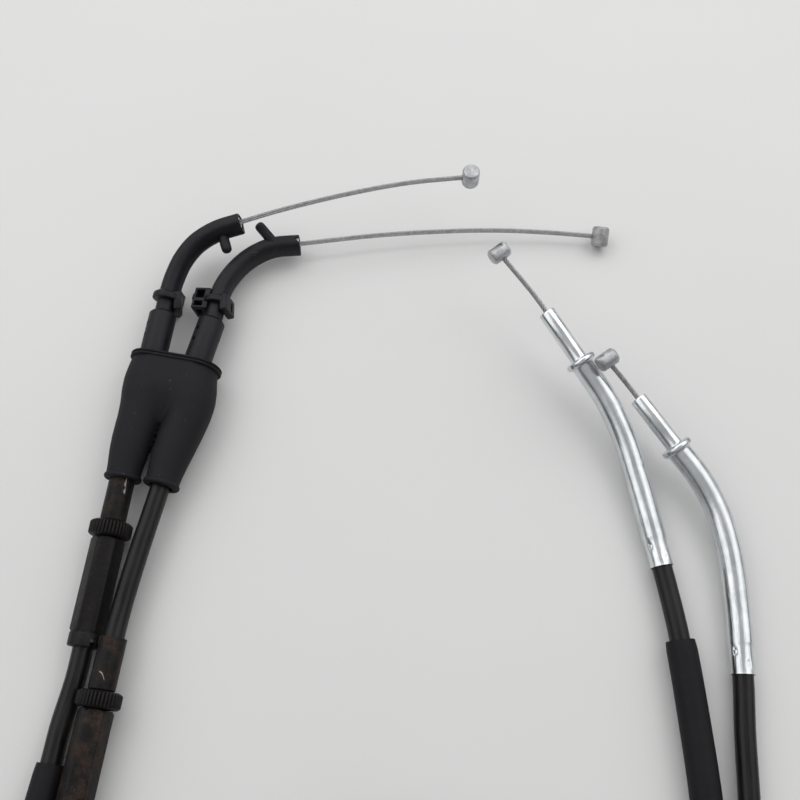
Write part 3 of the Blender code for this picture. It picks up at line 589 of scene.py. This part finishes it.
def pale_surface():
    """The pale surface that the cables lie on."""
    recipe = Recipe("pale_surface")
    cloud = recipe.noise(7, 3)
    grain = recipe.noise(900, 3)
    colour = recipe.between(cloud, (0.745, 0.745, 0.74), (0.77, 0.77, 0.765))
    return recipe.finish(colour, recipe.between(cloud, 0.60, 0.68), [(grain, 0.00002)])


NYLON = moulded_plastic()
RUBBER = boot_rubber()
JACKET = cable_jacket()
SLEEVE = sleeve_plastic()
BLACK_STEEL = black_steel("black_oxide_steel", 0.02, 0.0)
WORN_STEEL = black_steel("worn_oxide_steel", 0.16, 0.035)
BOLT_STEEL = black_steel("brown_oxide_steel", 0.12, 0.0, scratched=True)
ZINC = zinc_plate()
BRIGHT_CAST = cast_metal("bright_cast", (0.26, 0.26, 0.275), (0.68, 0.69, 0.70), 0.00009)
ROUGH_CAST = cast_metal("rough_cast", (0.24, 0.24, 0.25), (0.62, 0.62, 0.63), 0.00012)
STRAND = strand_steel()
WHITE = white_plastic()


# ---- the free conduits and their sleeves ----

def adjuster_axis(cable):
    return Vector(cable["adjuster_along"]).normalized()


def adjuster_matrix(cable, along_mm):
    """A place on the adjuster's axis, that far below the nut's upper face, with +Z towards the grip."""
    start = at(cable["nut"]) - adjuster_axis(cable) * NUT_LENGTH / 2 * MM
    return standing(start + adjuster_axis(cable) * along_mm * MM, -adjuster_axis(cable))


def beside_loop(side):
    """The loop's points, moved half the spacing off the pair's middle line: side is 1 outside, -1 inside."""
    found = []
    for i, point in enumerate(LOOP):
        before = Vector(LOOP[max(i - 1, 0)])
        after = Vector(LOOP[min(i + 1, len(LOOP) - 1)])
        heading = (after - before).xy.normalized()
        outwards = Vector((heading.y, -heading.x, 0.0))
        found.append(Vector(point) + outwards * side * PAIR_SPACING / 2)
    return found


def tube_foot(cable):
    """The bent tube's lower end, and the direction out of it."""
    line = smooth_line([at(p) for p in cable["tube"]])
    return line[-1], (line[-1] - line[-6]).normalized()


def conduit_line(cable):
    """The long conduit: out of the adjuster, round the loop and into the bent tube."""
    seat = adjuster_matrix(cable, BARREL_END - BARREL_LIP)
    below = seat @ (Vector((0, 0, -8.0)) * MM)
    foot, outwards = tube_foot(cable)
    end = foot - outwards * (CRIMP_LENGTH - 2) * MM
    if cable is PULL:
        points = PULL_LEAD + beside_loop(1) + PULL_TAIL
    else:
        points = beside_loop(-1) + RETURN_TAIL
    return smooth_line([seat.translation, below] + [at(p) for p in points] + [foot + outwards * 2 * MM, end])


def make_conduit(cable):
    """The long conduit."""
    name = cable["name"] + "_conduit"
    line = conduit_line(cable)
    conduit = sweep(name + "_jacket", spaced(line, 2.4 * MM), circle(CONDUIT_RADIUS, 28))
    place(conduit, JACKET, "conduit_jacket", body=None, nodes=[name])
    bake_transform(conduit)
    mouth = adjuster_matrix(cable, BARREL_END).translation


def make_sleeve(name, share):
    """A shrunk-on sleeve over part of a conduit."""
    line = stretch(conduit_line(share["cable"]), share["from"], share["to"])
    places = frames_along(spaced(line, 2.4 * MM))
    radius = SLEEVE_INNER + share["wall"]
    outer = [ring(p, circle(radius, 32)) for p in places]
    for index in (0, -1):
        outer[index] = ring(places[index], circle(radius - 0.2, 32))
    inner = [ring(p, circle(SLEEVE_INNER, 32)) for p in reversed(places)]
    sleeve = skin(name + "_skin", outer + inner, loop=True, sharp=50)
    place(sleeve, SLEEVE, "sleeve_plastic", nodes=[name])


# ---- elbow end ----

def elbow_line(cable):
    return smooth_line([at(p) for p in cable["elbow"]])


def elbow_outline():
    """The elbow's section: a flat floor, upright sides and a narrower flat top between two soft edges."""
    half = ELBOW_WIDTH / 2
    corners = [(0, -half), (half, -half), (half, 0.2 * half), (0.55 * half, half), (-0.55 * half, half),
               (-half, 0.2 * half), (-half, -half)]
    return fillet(corners, 0.9, closed=True)


def resampled(outline, steps):
    """A closed outline at equal turns about its middle, so that rings of different shapes join up."""
    polar = sorted((math.atan2(x, -y) % (2 * math.pi), math.hypot(x, y)) for x, y in outline)
    polar = [(polar[-1][0] - 2 * math.pi, polar[-1][1])] + polar + [(polar[0][0] + 2 * math.pi, polar[0][1])]
    made = []
    for k in range(steps):
        angle = 2 * math.pi * k / steps
        i = next(j for j in range(len(polar) - 1) if polar[j][0] <= angle <= polar[j + 1][0])
        (low, near), (high, far) = polar[i], polar[i + 1]
        share = (angle - low) / max(high - low, 1e-9)
        radius = near * (1 - share) + far * share
        made.append((radius * math.sin(angle), -radius * math.cos(angle)))
    return made


def scaled(outline, factor):
    return [(x * factor, y * factor) for x, y in outline]


def make_clip(name, foot, along, cable):
    """The clip box with its two openings and a nib, and the slotted skirt on the elbow's other side."""
    place_here = standing(foot, along, cable["clip_turn"])
    box = block(name + "_clip", (5.0, 6.0, 7.1), shifted(place_here, 4.2, 0, 0.25), 0.35)
    window = block(name + "_window", (2.7, 5.0, 2.9), shifted(place_here, 4.6, 2.3, 1.6), 0.0)
    cell = block(name + "_cell", (2.7, 5.0, 1.8), shifted(place_here, 4.6, 2.3, -1.7), 0.0)
    mouth = block(name + "_mouth", (2.0, 3.4, 3.0), shifted(place_here, 4.6, 0.2, -3.4), 0.0)
    cut(box, window, cell, mouth)
    nib = block(name + "_nib", (1.4, 2.4, 2.2), shifted(place_here, 6.9, 0.8, 1.2), 0.4)
    skirt_place = standing(foot, along, cable["skirt_turn"])
    lean = Matrix.Rotation(math.radians(-12), 4, "Y")
    skirt = block(name + "_skirt", (2.2, 6.4, 5.6), shifted(skirt_place, 3.5, 0, -0.9) @ lean, 0.4)
    cut(skirt, block(name + "_slot", (3.0, 1.1, 3.2), shifted(skirt_place, 4.6, 1.0, -1.0), 0.0))
    return merged(name + "_clip", box, nib), skirt


NECK_POINTS = 50  # of the elbow's line, which has CURVE_STEPS of them to each stretch


def make_elbow(cable):
    """The moulded elbow with its foot, clip box, slotted skirt, peg and hollow mouth."""
    name = cable["name"] + "_elbow"
    line = elbow_line(cable)
    top, foot = at(cable["elbow"][0]), at(cable["elbow"][1])
    body_line = spaced([p for p in line if (p - top).length > (foot - top).length], 0.8 * MM)
    steps = 56
    outline = resampled(elbow_outline(), steps)
    places = frames_along(body_line)
    mouth = places[-1]
    rings = [ring(p, outline) for p in places[:-1]]
    rings.append(ring(shifted(mouth, z=-0.25), outline))
    rings.append(ring(mouth, scaled(outline, 0.93)))
    rings += round_rings(mouth, [(2.3, 0.0), (2.05, -0.4), (2.0, -6.5)], steps)
    body = skin(name + "_body", rings)
    neck = sweep(name + "_neck", spaced(line[:NECK_POINTS], 1.0 * MM), circle(ELBOW_NECK_RADIUS, 40))
    along = body_line[4] - body_line[0]
    collar_profile = [(3.4, 1.5), (4.3, 0.7), (4.3, -0.9), (3.6, -1.1)]
    collar = lathe(name + "_collar", collar_profile, standing(foot, along), soft=0.3)
    clip, skirt = make_clip(name, foot, along, cable)
    ferrule_axis = (top - at(cable["ferrule_end"])).normalized()
    spigot_profile = [(ELBOW_NECK_RADIUS, 0.4), (ELBOW_NECK_RADIUS, -5.0)]
    spigot = lathe(name + "_spigot", spigot_profile, standing(top, ferrule_axis), 40)
    length = cable["peg"]["length"]
    peg_profile = [(1.6, -1.0), (1.55, length - 0.9), (1.2, length - 0.25), (0.55, length)]
    peg_place = standing(at(cable["peg"]["at"]), cable["peg"]["along"])
    peg = lathe(name + "_peg", peg_profile, peg_place, 40, soft=0.4)
    if cable["mouth_notch"]:
        upright = Matrix.Translation(mouth.translation) @ Matrix.Rotation(math.radians(45), 4, "Z")
        cut(body, block(name + "_notch", (2.0, 2.0, 6.0), shifted(upright, 0.2, 0.2, 3.0), 0.0))
    elbow = merged(name + "_moulding", body, neck, collar, clip, skirt, spigot, peg)
    place(elbow, NYLON, "elbow_plastic", nodes=[name])


def ferrule_frame(cable):
    end = at(cable["ferrule_end"])
    return standing(end, at(cable["elbow"][0]) - end)


def make_ferrule(cable):
    """The crimped ferrule: chamfered top, two punch marks near its edge."""
    name = cable["name"] + "_elbow_ferrule"
    frame_here = ferrule_frame(cable)
    profile = [(3.15, FERRULE_LENGTH), (FERRULE_RADIUS, FERRULE_LENGTH - 0.95), (FERRULE_RADIUS, 0.4),
               (FERRULE_RADIUS - 0.4, 0), (SOCKET_RADIUS, 0), (SOCKET_RADIUS, FERRULE_SOCKET),
               (1.5, FERRULE_SOCKET), (1.5, 12.5), (SOCKET_RADIUS, 12.5), (SOCKET_RADIUS, FERRULE_LENGTH)]
    ferrule = lathe(name + "_sleeve", profile, frame_here, hollow=True, soft=0.2)
    marks = []
    for k, height in enumerate((FERRULE_LENGTH - 4.8, FERRULE_LENGTH - 8.5)):
        side = frame_here @ Matrix.Rotation(cable["mark_turn"], 4, "Z")
        drill = shifted(side, x=FERRULE_RADIUS, z=height) @ Matrix.Rotation(math.radians(90), 4, "Y")
        marks.append(lathe(f"{name}_mark{k}", [(0.5, -0.8), (0.62, 0.0), (0.75, 0.7)], drill, 24))
    cut(ferrule, *marks)
    place(ferrule, NYLON, "elbow_plastic", nodes=[name])


# ---- boot and upper conduits ----

LEG_RADII = [6.1, 6.6, 7.05, 7.05, 6.6, 6.2, 5.95, 5.7, 5.3, 4.85, 4.7]
BOOT_WALL = 1.3


def leg_line(cable):
    return smooth_line([at(p) for p in cable["boot_leg"]])


def boot_mouth():
    """The middle of the boot's mouth, and the step across it from the pull leg to the return leg."""
    starts = [leg_line(PULL)[0], leg_line(RETURN)[0]]
    return (starts[0] + starts[1]) / 2, starts[1] - starts[0]


def leg_tube(name, cable, thinner, beyond):
    """One leg as a tapering tube, running that far beyond its ends."""
    points = spaced(leg_line(cable), 0.8 * MM)
    points[0] = points[0] + (points[0] - points[1]).normalized() * beyond * MM
    points[-1] = points[-1] + (points[-1] - points[-2]).normalized() * beyond * MM
    rings = []
    for i, place_here in enumerate(frames_along(points)):
        share = i / (len(points) - 1) * (len(LEG_RADII) - 1)
        low = min(int(share), len(LEG_RADII) - 2)
        radius = LEG_RADII[low] + (LEG_RADII[low + 1] - LEG_RADII[low]) * (share - low)
        rings.append(ring(place_here, circle(radius - thinner, 48)))
    return skin(name, rings)


def remeshed(obj, voxel, smoothing):
    """Fuses an object's shells into one skin and softens it."""
    step = obj.modifiers.new("fuse", "REMESH")
    step.mode = "VOXEL"
    step.voxel_size = voxel * MM
    soften = obj.modifiers.new("soften", "SMOOTH")
    soften.factor = 0.5
    soften.iterations = smoothing
    return applied(obj)


def boot_web(name, thickness, start, end):
    """The web between the legs: full height at the mouth and thinner towards the fork."""
    middle, across = boot_mouth()
    across.normalize()
    down = Vector((across.y, -across.x, 0.0))
    basis = Matrix((across, across.cross(-down), -down)).transposed().to_4x4()
    rings = []
    for k in range(13):
        share = k / 12
        depth = start + (end - start) * share
        fall = max(0.0, (share - 0.45) / 0.55)
        half_height = thickness / 2 * (1 - 0.72 * fall ** 1.6)
        half_width = 6.9 - 1.5 * fall
        spot = middle + down * depth * MM
        corners = [(half_width, -half_height), (half_width, half_height), (-half_width, half_height),
                   (-half_width, -half_height)]
        rings.append(ring(Matrix.Translation(spot) @ basis, corners))
    return skin(name, rings)


def racetrack(half_gap, radius, steps=24):
    """Two half circles joined by straight sides, from the right-hand end round."""
    made = []
    for side in (1, -1):
        for k in range(steps + 1):
            angle = math.radians(-90 + 180 * k / steps)
            made.append((side * (half_gap + radius * math.cos(angle)), side * radius * math.sin(angle)))
    return made


def make_boot():
    """The rubber Y boot: fused and softened body, thin double rim, and a rolled ring at each leg's end."""
    name = "rubber_boot"
    outer = merged(name + "_skin", leg_tube("leg_a", PULL, 0.0, 0.0), leg_tube("leg_b", RETURN, 0.0, 0.0),
                   boot_web("web", 13.2, 0.0, 19.5))
    inner = merged(name + "_hollow", leg_tube("hollow_a", PULL, BOOT_WALL, 2.0),
                   leg_tube("hollow_b", RETURN, BOOT_WALL, 2.0), boot_web("web_hollow", 10.6, -2.0, 12.0))
    remeshed(outer, 0.42, 9)
    remeshed(inner, 0.5, 4)
    body = cut(outer, inner)
    middle, across = boot_mouth()
    half_gap = across.length / 2 / MM
    up = Vector((-across.y, across.x, 0.0)).normalized()
    basis = Matrix((across.normalized(), up.cross(across.normalized()), up)).transposed().to_4x4()
    rim_place = Matrix.Translation(middle) @ basis
    section = [(5.2, 0.25), (6.9, 0.25), (7.1, 0.0), (7.05, -0.3), (6.6, -0.45), (6.95, -0.7), (7.1, -1.0),
               (6.9, -1.3), (6.2, -1.45), (5.2, -1.3)]
    rim = skin(name + "_rim", [ring(shifted(rim_place, z=height), racetrack(half_gap, radius))
                               for radius, height in fillet(section, 0.12, closed=True)], loop=True, sharp=60)
    rings = []
    for k, line in enumerate((leg_line(PULL), leg_line(RETURN))):
        axis = line[-1] - line[-8]
        section = [(4.0, -0.1), (4.75, -0.1), (5.15, 0.35), (5.15, 0.95), (4.8, 1.4), (4.0, 1.6)]
        rings.append(lathe(f"{name}_ring{k}", section, standing(line[-1], -axis), 56, hollow=True, soft=0.3))
    boot = merged(name + "_skin", body, rim, *rings)
    for polygon in boot.data.polygons:
        polygon.use_smooth = True
    place(boot, RUBBER, "boot_rubber", nodes=[name])


def bolt_top(cable):
    return at(cable["nut"]) - adjuster_axis(cable) * (NUT_LENGTH / 2 + GAP + BOLT_TUBE_LENGTH) * MM


def make_upper_conduit(cable):
    name = cable["name"] + "_upper_conduit"
    ferrule = ferrule_frame(cable)
    start = shifted(ferrule, z=FERRULE_SOCKET - GAP).translation
    ferrule_mouth = shifted(ferrule, z=-1.0).translation
    end = bolt_top(cable) + adjuster_axis(cable) * (BOLT_SOCKET_DEPTH - GAP) * MM
    bolt_mouth = bolt_top(cable) - adjuster_axis(cable) * 1.0 * MM
    line = smooth_line([start, ferrule_mouth] + [at(p) for p in cable["upper_conduit"]] + [bolt_mouth, end])
    conduit = sweep(name + "_jacket", spaced(line, 1.5 * MM), circle(CONDUIT_RADIUS, 32))
    place(conduit, JACKET, "conduit_jacket", nodes=[name])


# ---- adjusters ----

THREAD_RADIUS = 2.95
THREAD_LENGTH = 24.0
THREAD_PITCH = 1.0
THREAD_DEPTH = 0.3
BORE_RADIUS = 3.25
CHAMFER_RADIUS = 3.5
SEAT_RADIUS = 3.5
NUT_RIBS = 36
RIB_DEPTH = 0.6
CORNER_RADIUS = 4.53
COLLAR_RADIUS = 4.3
COLLAR_LENGTH = 3.75
BARREL_TURN = math.radians(12 + 90)
SLOT_TURN = math.radians(138)


def make_bolt(cable):
    """The adjuster's fixed tube with its M6 screw."""
    name = cable["name"] + "_adjuster_bolt"
    base = adjuster_matrix(cable, -GAP)
    top = BOLT_TUBE_LENGTH
    floor_height = top - BOLT_SOCKET_DEPTH
    profile = [(BOLT_TUBE_RADIUS, top), (BOLT_TUBE_RADIUS, 0), (2.5, -0.2), (2.5, floor_height),
               (SOCKET_RADIUS, floor_height), (SOCKET_RADIUS, top)]
    tube = lathe(name + "_tube", profile, base, hollow=True, soft=0.25)
    levels = int(THREAD_LENGTH / (THREAD_PITCH / 8))
    rings = []
    for level in range(levels + 1):
        height = -THREAD_LENGTH * level / levels
        end_taper = min(1.0, (THREAD_LENGTH + height) / 0.8)

        def thread(turn):
            phase = (height / THREAD_PITCH - turn / (2 * math.pi)) % 1.0
            return THREAD_RADIUS - THREAD_DEPTH * abs(2 * phase - 1) - 0.5 * (1 - end_taper)

        rings.append(ring(shifted(base, z=height), turned(thread, 48)))
    screw = skin(name + "_screw", rings, sharp=70)
    bolt = merged(name + "_turned", tube, screw)
    place(bolt, BOLT_STEEL, "adjuster_steel", nodes=[name])


def make_lock_nut(cable):
    """The knurled lock ring: rounded ribs that die out in a chamfer at both faces."""
    name = cable["name"] + "_lock_nut"
    base = adjuster_matrix(cable, NUT_LENGTH)
    steps = NUT_RIBS * 10
    levels = [(0.0, 4.9), (0.12, 5.15), (0.4, 5.55), (0.7, NUT_RADIUS)]
    levels += [(NUT_LENGTH - inset, limit) for inset, limit in reversed(levels)]
    rings = []
    for height, limit in levels:
        def rib(turn):
            wave = abs(math.sin(turn * NUT_RIBS / 2))
            return min(NUT_RADIUS - RIB_DEPTH + RIB_DEPTH * wave ** 0.6, limit)

        rings.append(ring(shifted(base, z=height), turned(rib, steps)))
    bore = [(CHAMFER_RADIUS, NUT_LENGTH), (BORE_RADIUS, NUT_LENGTH - 0.25), (BORE_RADIUS, 0.25),
            (CHAMFER_RADIUS, 0.0)]
    rings += round_rings(base, bore, steps)
    nut = skin(name + "_knurled", rings, loop=True)
    place(nut, BLACK_STEEL, "adjuster_steel", cable["name"] + "_nut", [name])


def make_barrel(cable, material):
    """The hexagonal barrel with chamfered ends, an end collar and a slot in the collar."""
    name = cable["name"] + "_adjuster_barrel"
    base = adjuster_matrix(cable, BARREL_END)
    steps = 144
    levels = [(0.0, 4.0), (0.3, COLLAR_RADIUS), (3.3, COLLAR_RADIUS), (3.6, 4.12), (COLLAR_LENGTH, 4.12),
              (4.3, CORNER_RADIUS), (16.0, CORNER_RADIUS), (BARREL_LENGTH - 0.7, CORNER_RADIUS),
              (BARREL_LENGTH - 0.12, 4.1), (BARREL_LENGTH, 3.9)]
    rings = []
    for height, limit in levels:
        def hexagon(turn):
            flat = BARREL_FLAT / math.cos((turn - BARREL_TURN) % math.radians(60) - math.radians(30))
            return min(COLLAR_RADIUS if height <= COLLAR_LENGTH else flat, limit)

        rings.append(ring(shifted(base, z=height), turned(hexagon, steps)))
    bore = [(CHAMFER_RADIUS, BARREL_LENGTH), (BORE_RADIUS, BARREL_LENGTH - 0.3), (BORE_RADIUS, 5.7),
            (SEAT_RADIUS, 5.6), (SEAT_RADIUS, BARREL_LIP), (SOCKET_RADIUS, BARREL_LIP), (SOCKET_RADIUS, 0.2),
            (3.2, 0.0)]
    rings += round_rings(base, bore, steps)
    barrel = skin(name + "_hex", rings, loop=True)
    slot_place = base @ Matrix.Rotation(SLOT_TURN, 4, "Z")
    cut(barrel, block(name + "_slot", (4.0, 1.5, 5.2), shifted(slot_place, x=4.2), 0.0))
    place(barrel, material, "adjuster_steel", cable["name"] + "_barrel", [name])


# ---- the throttle body end ----

def make_tube(cable):
    """The bent tube: hollow nose, stop flange, bend and the crimped end."""
    name = cable["name"] + "_bent_tube"
    route = [at(p) for p in cable["tube"]]
    line = smooth_line(route)
    mouth, flange = route[0], route[1]
    steps = 64
    outwards = (mouth - flange).normalized()
    nose = (mouth - flange).length / MM
    base = frames_along([flange - outwards * MM, flange, flange + outwards * MM])[1]
    profile = [(1.9, nose - 12), (1.9, nose - 0.3), (2.1, nose), (2.25, nose), (NOSE_RADIUS, nose - 0.35),
               (NOSE_RADIUS, 8.0), (NOSE_RADIUS, 1.5), (2.6, 1.1), (3.9, 0.95), (4.35, 0.6),
               (FLANGE_RADIUS, 0.0), (4.35, -0.6), (3.9, -0.95), (3.5, -1.05)]
    rings = []
    for radius, height in profile:
        def lumpy(turn):
            """The flange's rim has three low lumps."""
            lump = 0.22 * max(0.0, math.cos(3 * turn + 0.6)) ** 8
            return radius + lump if radius > 4.2 else radius

        rings.append(ring(shifted(base, z=height), turned(lumpy, steps)))
    below = spaced([flange] + line[CURVE_STEPS + 2:], 0.7 * MM)
    frames_below = frames_along(below)
    total = line_length(below) / MM
    for i, here in enumerate(frames_below):
        gone = total * i / (len(below) - 1)
        if gone < 1.4:
            continue
        left = total - gone

        def crimped(turn):
            """Two rows of dents and a slight flare, near the lower end."""
            squeeze = 0.22 * min(max((CRIMP_LENGTH - left) / 0.9, 0.0), 1.0)
            dent = 0.0
            for centre in (2.4, 5.6):
                dent += math.exp(-((left - centre) / 0.75) ** 2) * max(0.0, math.cos(3 * turn + centre)) ** 6
            return TUBE_RADIUS - squeeze - 0.38 * dent + 0.12 * math.exp(-left / 0.5)

        rings.append(ring(here @ Matrix.Rotation(math.pi, 4, "Y"), turned(crimped, steps)))
    last = frames_below[-1] @ Matrix.Rotation(math.pi, 4, "Y")
    rings += round_rings(last, [(SOCKET_RADIUS, 0.0), (2.95, 6.0)], steps)
    tube = skin(name + "_plated", rings, sharp=40)
    place(tube, ZINC, "tube_steel", nodes=[name])


# ---- wires and nipples ----

STRANDS = 5
STRAND_RADIUS = 0.265
LAY_LENGTH = 5.4
HIDDEN_WIRE = 7.0


def stranded(name, line):
    """A wire rope: a core and outer strands that wind round it."""
    points = spaced(line, 0.45 * MM)
    places = frames_along(points)
    step = line_length(points) / (len(points) - 1) / MM
    shells = [sweep(name + "_core", points, circle(0.3, 10))]
    for strand in range(STRANDS):
        rings = []
        for i, here in enumerate(places):
            turn = 2 * math.pi * (strand / STRANDS + i * step / LAY_LENGTH)
            reach = WIRE_RADIUS - STRAND_RADIUS
            spot = shifted(here, reach * math.cos(turn), reach * math.sin(turn))
            rings.append(ring(spot, circle(STRAND_RADIUS, 8)))
        shells.append(skin(f"{name}_strand{strand}", rings, sharp=60))
    return merged(name + "_strands", *shells)


def make_nipple(name, centre, axis, wire_from, size, material, body, groove=None):
    """A barrel nipple, drilled for its wire. A groove is a mould step along its side."""
    half = size["length"] / 2
    radius = size["radius"]
    upright = standing(centre, axis)
    bevel = 0.5
    profile = [(radius - bevel, half), (radius, half - bevel), (radius, 0.0), (radius, bevel - half),
               (radius - bevel, -half)]
    nipple = lathe(name + "_cast", profile, upright, 72, soft=0.3)
    towards = (wire_from - centre).normalized()
    hole = lathe(name + "_hole", [(1.0, -1.3), (1.0, radius - 0.6), (1.45, radius + 0.6)],
                 standing(centre, towards), 36)
    cutters = [hole]
    if groove:
        side = shifted(upright @ Matrix.Rotation(groove["turn"], 4, "Z"), radius, 0, groove["shift"])
        cutters.append(block(name + "_groove", groove["size"], side, 0.0))
    cut(nipple, *cutters)
    return place(nipple, material, "nipple_metal", body, [name])


def make_wire(prefix, line):
    """A stranded wire along the line."""
    wire = stranded(prefix + "_wire", line)
    place(wire, STRAND, "wire_steel", body=None, nodes=[prefix + "_wire"])
    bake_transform(wire)


def make_grip_end(cable, material):
    """The exposed wire at the twist grip and its nipple. The wire starts a little way inside the elbow."""
    prefix = cable["name"] + "_grip"
    route = [at(p) for p in cable["grip_wire"]]
    line = smooth_line(route)
    elbow = elbow_line(cable)
    hidden = [p for p in elbow if (p - elbow[-1]).length < HIDDEN_WIRE * MM][:-1]
    nipple = make_nipple(prefix + "_nipple", route[-1], cable["grip_nipple_axis"], line[-20],
                         cable["grip_nipple"], material, prefix + "_end")
    make_wire(prefix, hidden + line)


def make_carb_end(cable, material, groove):
    """The exposed wire at the throttle body and its nipple."""
    prefix = cable["name"] + "_carb"
    centre = at(cable["carb_nipple_at"])
    mouth, flange = at(cable["tube"][0]), at(cable["tube"][1])
    outwards = (mouth - flange).normalized()
    line = smooth_line([flange, mouth.lerp(flange, 0.5), mouth, mouth + outwards * 2 * MM, centre])
    nipple = make_nipple(prefix + "_nipple", centre, cable["carb_nipple_axis"], line[-20], CARB_NIPPLE,
                         material, prefix + "_end", groove)
    make_wire(prefix, line)


# ---- pieces that keep their CAD shape ----

def keep_cad(node, material):
    """Gives a CAD node its material."""
    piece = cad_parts[node]
    piece.data.materials.clear()
    piece.data.materials.append(material)


# ---- floor, light and camera ----

def make_floor():
    mesh = bpy.data.meshes.new("floor")
    made = bmesh.new()
    bmesh.ops.create_grid(made, x_segments=8, y_segments=8, size=1.5)
    made.to_mesh(mesh)
    made.free()
    floor = bpy.data.objects.new("floor", mesh)
    floor.location.z = -0.0001
    floor.data.materials.append(pale_surface())
    bpy.context.scene.collection.objects.link(floor)


# Each window: name, place, what it faces, size, power in watts.
WINDOWS = [
    ("north_window", (0.02, 0.62, 0.62), (0.0, 0.02, 0.0), (1.4, 0.8), 3.95),
    ("left_window", (-0.62, 0.12, 0.55), (-0.05, 0.0, 0.0), (0.8, 0.8), 1.75),
    ("right_window", (0.62, 0.20, 0.55), (0.05, 0.0, 0.0), (0.8, 0.8), 1.75),
]
# The sky's grey at each height above the horizon, as (sine of the height, grey).
SKY = [(0.0, 0.45), (0.10, 0.12), (0.32, 0.50), (0.60, 0.95), (1.0, 1.0)]
SKY_STRENGTH = 0.46


def make_light(name, location, target, size, power):
    light = bpy.data.lights.new(name, "AREA")
    light.shape = "RECTANGLE"
    light.size, light.size_y = size
    light.energy = power
    obj = bpy.data.objects.new(name, light)
    obj.location = location
    obj.rotation_euler = (Vector(target) - Vector(location)).to_track_quat("-Z", "Y").to_euler()
    bpy.context.scene.collection.objects.link(obj)


def make_lights():
    world = bpy.data.worlds.new("studio")
    world.use_nodes = True
    tree = world.node_tree
    background = tree.nodes["Background"]
    background.inputs["Strength"].default_value = SKY_STRENGTH
    coordinates = tree.nodes.new("ShaderNodeTexCoord")
    split = tree.nodes.new("ShaderNodeSeparateXYZ")
    ramp = tree.nodes.new("ShaderNodeValToRGB")
    elements = ramp.color_ramp.elements
    while len(elements) < len(SKY):
        elements.new(0.5)
    for element, (position, grey) in zip(elements, SKY):
        element.position = position
        element.color = (grey, grey, grey, 1.0)
    tree.links.new(coordinates.outputs["Generated"], split.inputs["Vector"])
    tree.links.new(split.outputs["Z"], ramp.inputs["Fac"])
    tree.links.new(ramp.outputs["Color"], background.inputs["Color"])
    bpy.context.scene.world = world
    for window in WINDOWS:
        make_light(*window)


def make_camera():
    data = bpy.data.cameras.new("camera")
    data.lens = CAMERA_LENS
    data.sensor_width = 36.0
    camera = bpy.data.objects.new("camera", data)
    camera.location = at((0.0, -CAMERA_HEIGHT * math.tan(CAMERA_TILT), CAMERA_HEIGHT))
    camera.rotation_euler = (CAMERA_TILT, 0.0, 0.0)
    bpy.context.scene.collection.objects.link(camera)
    bpy.context.scene.camera = camera
    bpy.context.scene.view_settings.view_transform = "Standard"


# ---- building ----

make_camera()
for cable in (PULL, RETURN):
    make_conduit(cable)
for sleeve_name, share in SLEEVES.items():
    make_sleeve(sleeve_name, share)
for cable in (PULL, RETURN):
    make_elbow(cable)
    make_ferrule(cable)
    make_upper_conduit(cable)
    make_bolt(cable)
    make_lock_nut(cable)
    make_tube(cable)
    keep_cad(cable["name"] + "_elbow_liner", WHITE)
    keep_cad(cable["name"] + "_tube_liner", WHITE)
    keep_cad(cable["name"] + "_conduit_seat", BRIGHT_CAST)
make_barrel(PULL, BLACK_STEEL)
make_barrel(RETURN, WORN_STEEL)
make_grip_end(PULL, BRIGHT_CAST)
make_grip_end(RETURN, ROUGH_CAST)
make_carb_end(PULL, BRIGHT_CAST, PULL_GROOVE)
make_carb_end(RETURN, BRIGHT_CAST, RETURN_GROOVE)
make_boot()
keep_cad("coil_tie", NYLON)
make_floor()
make_lights()
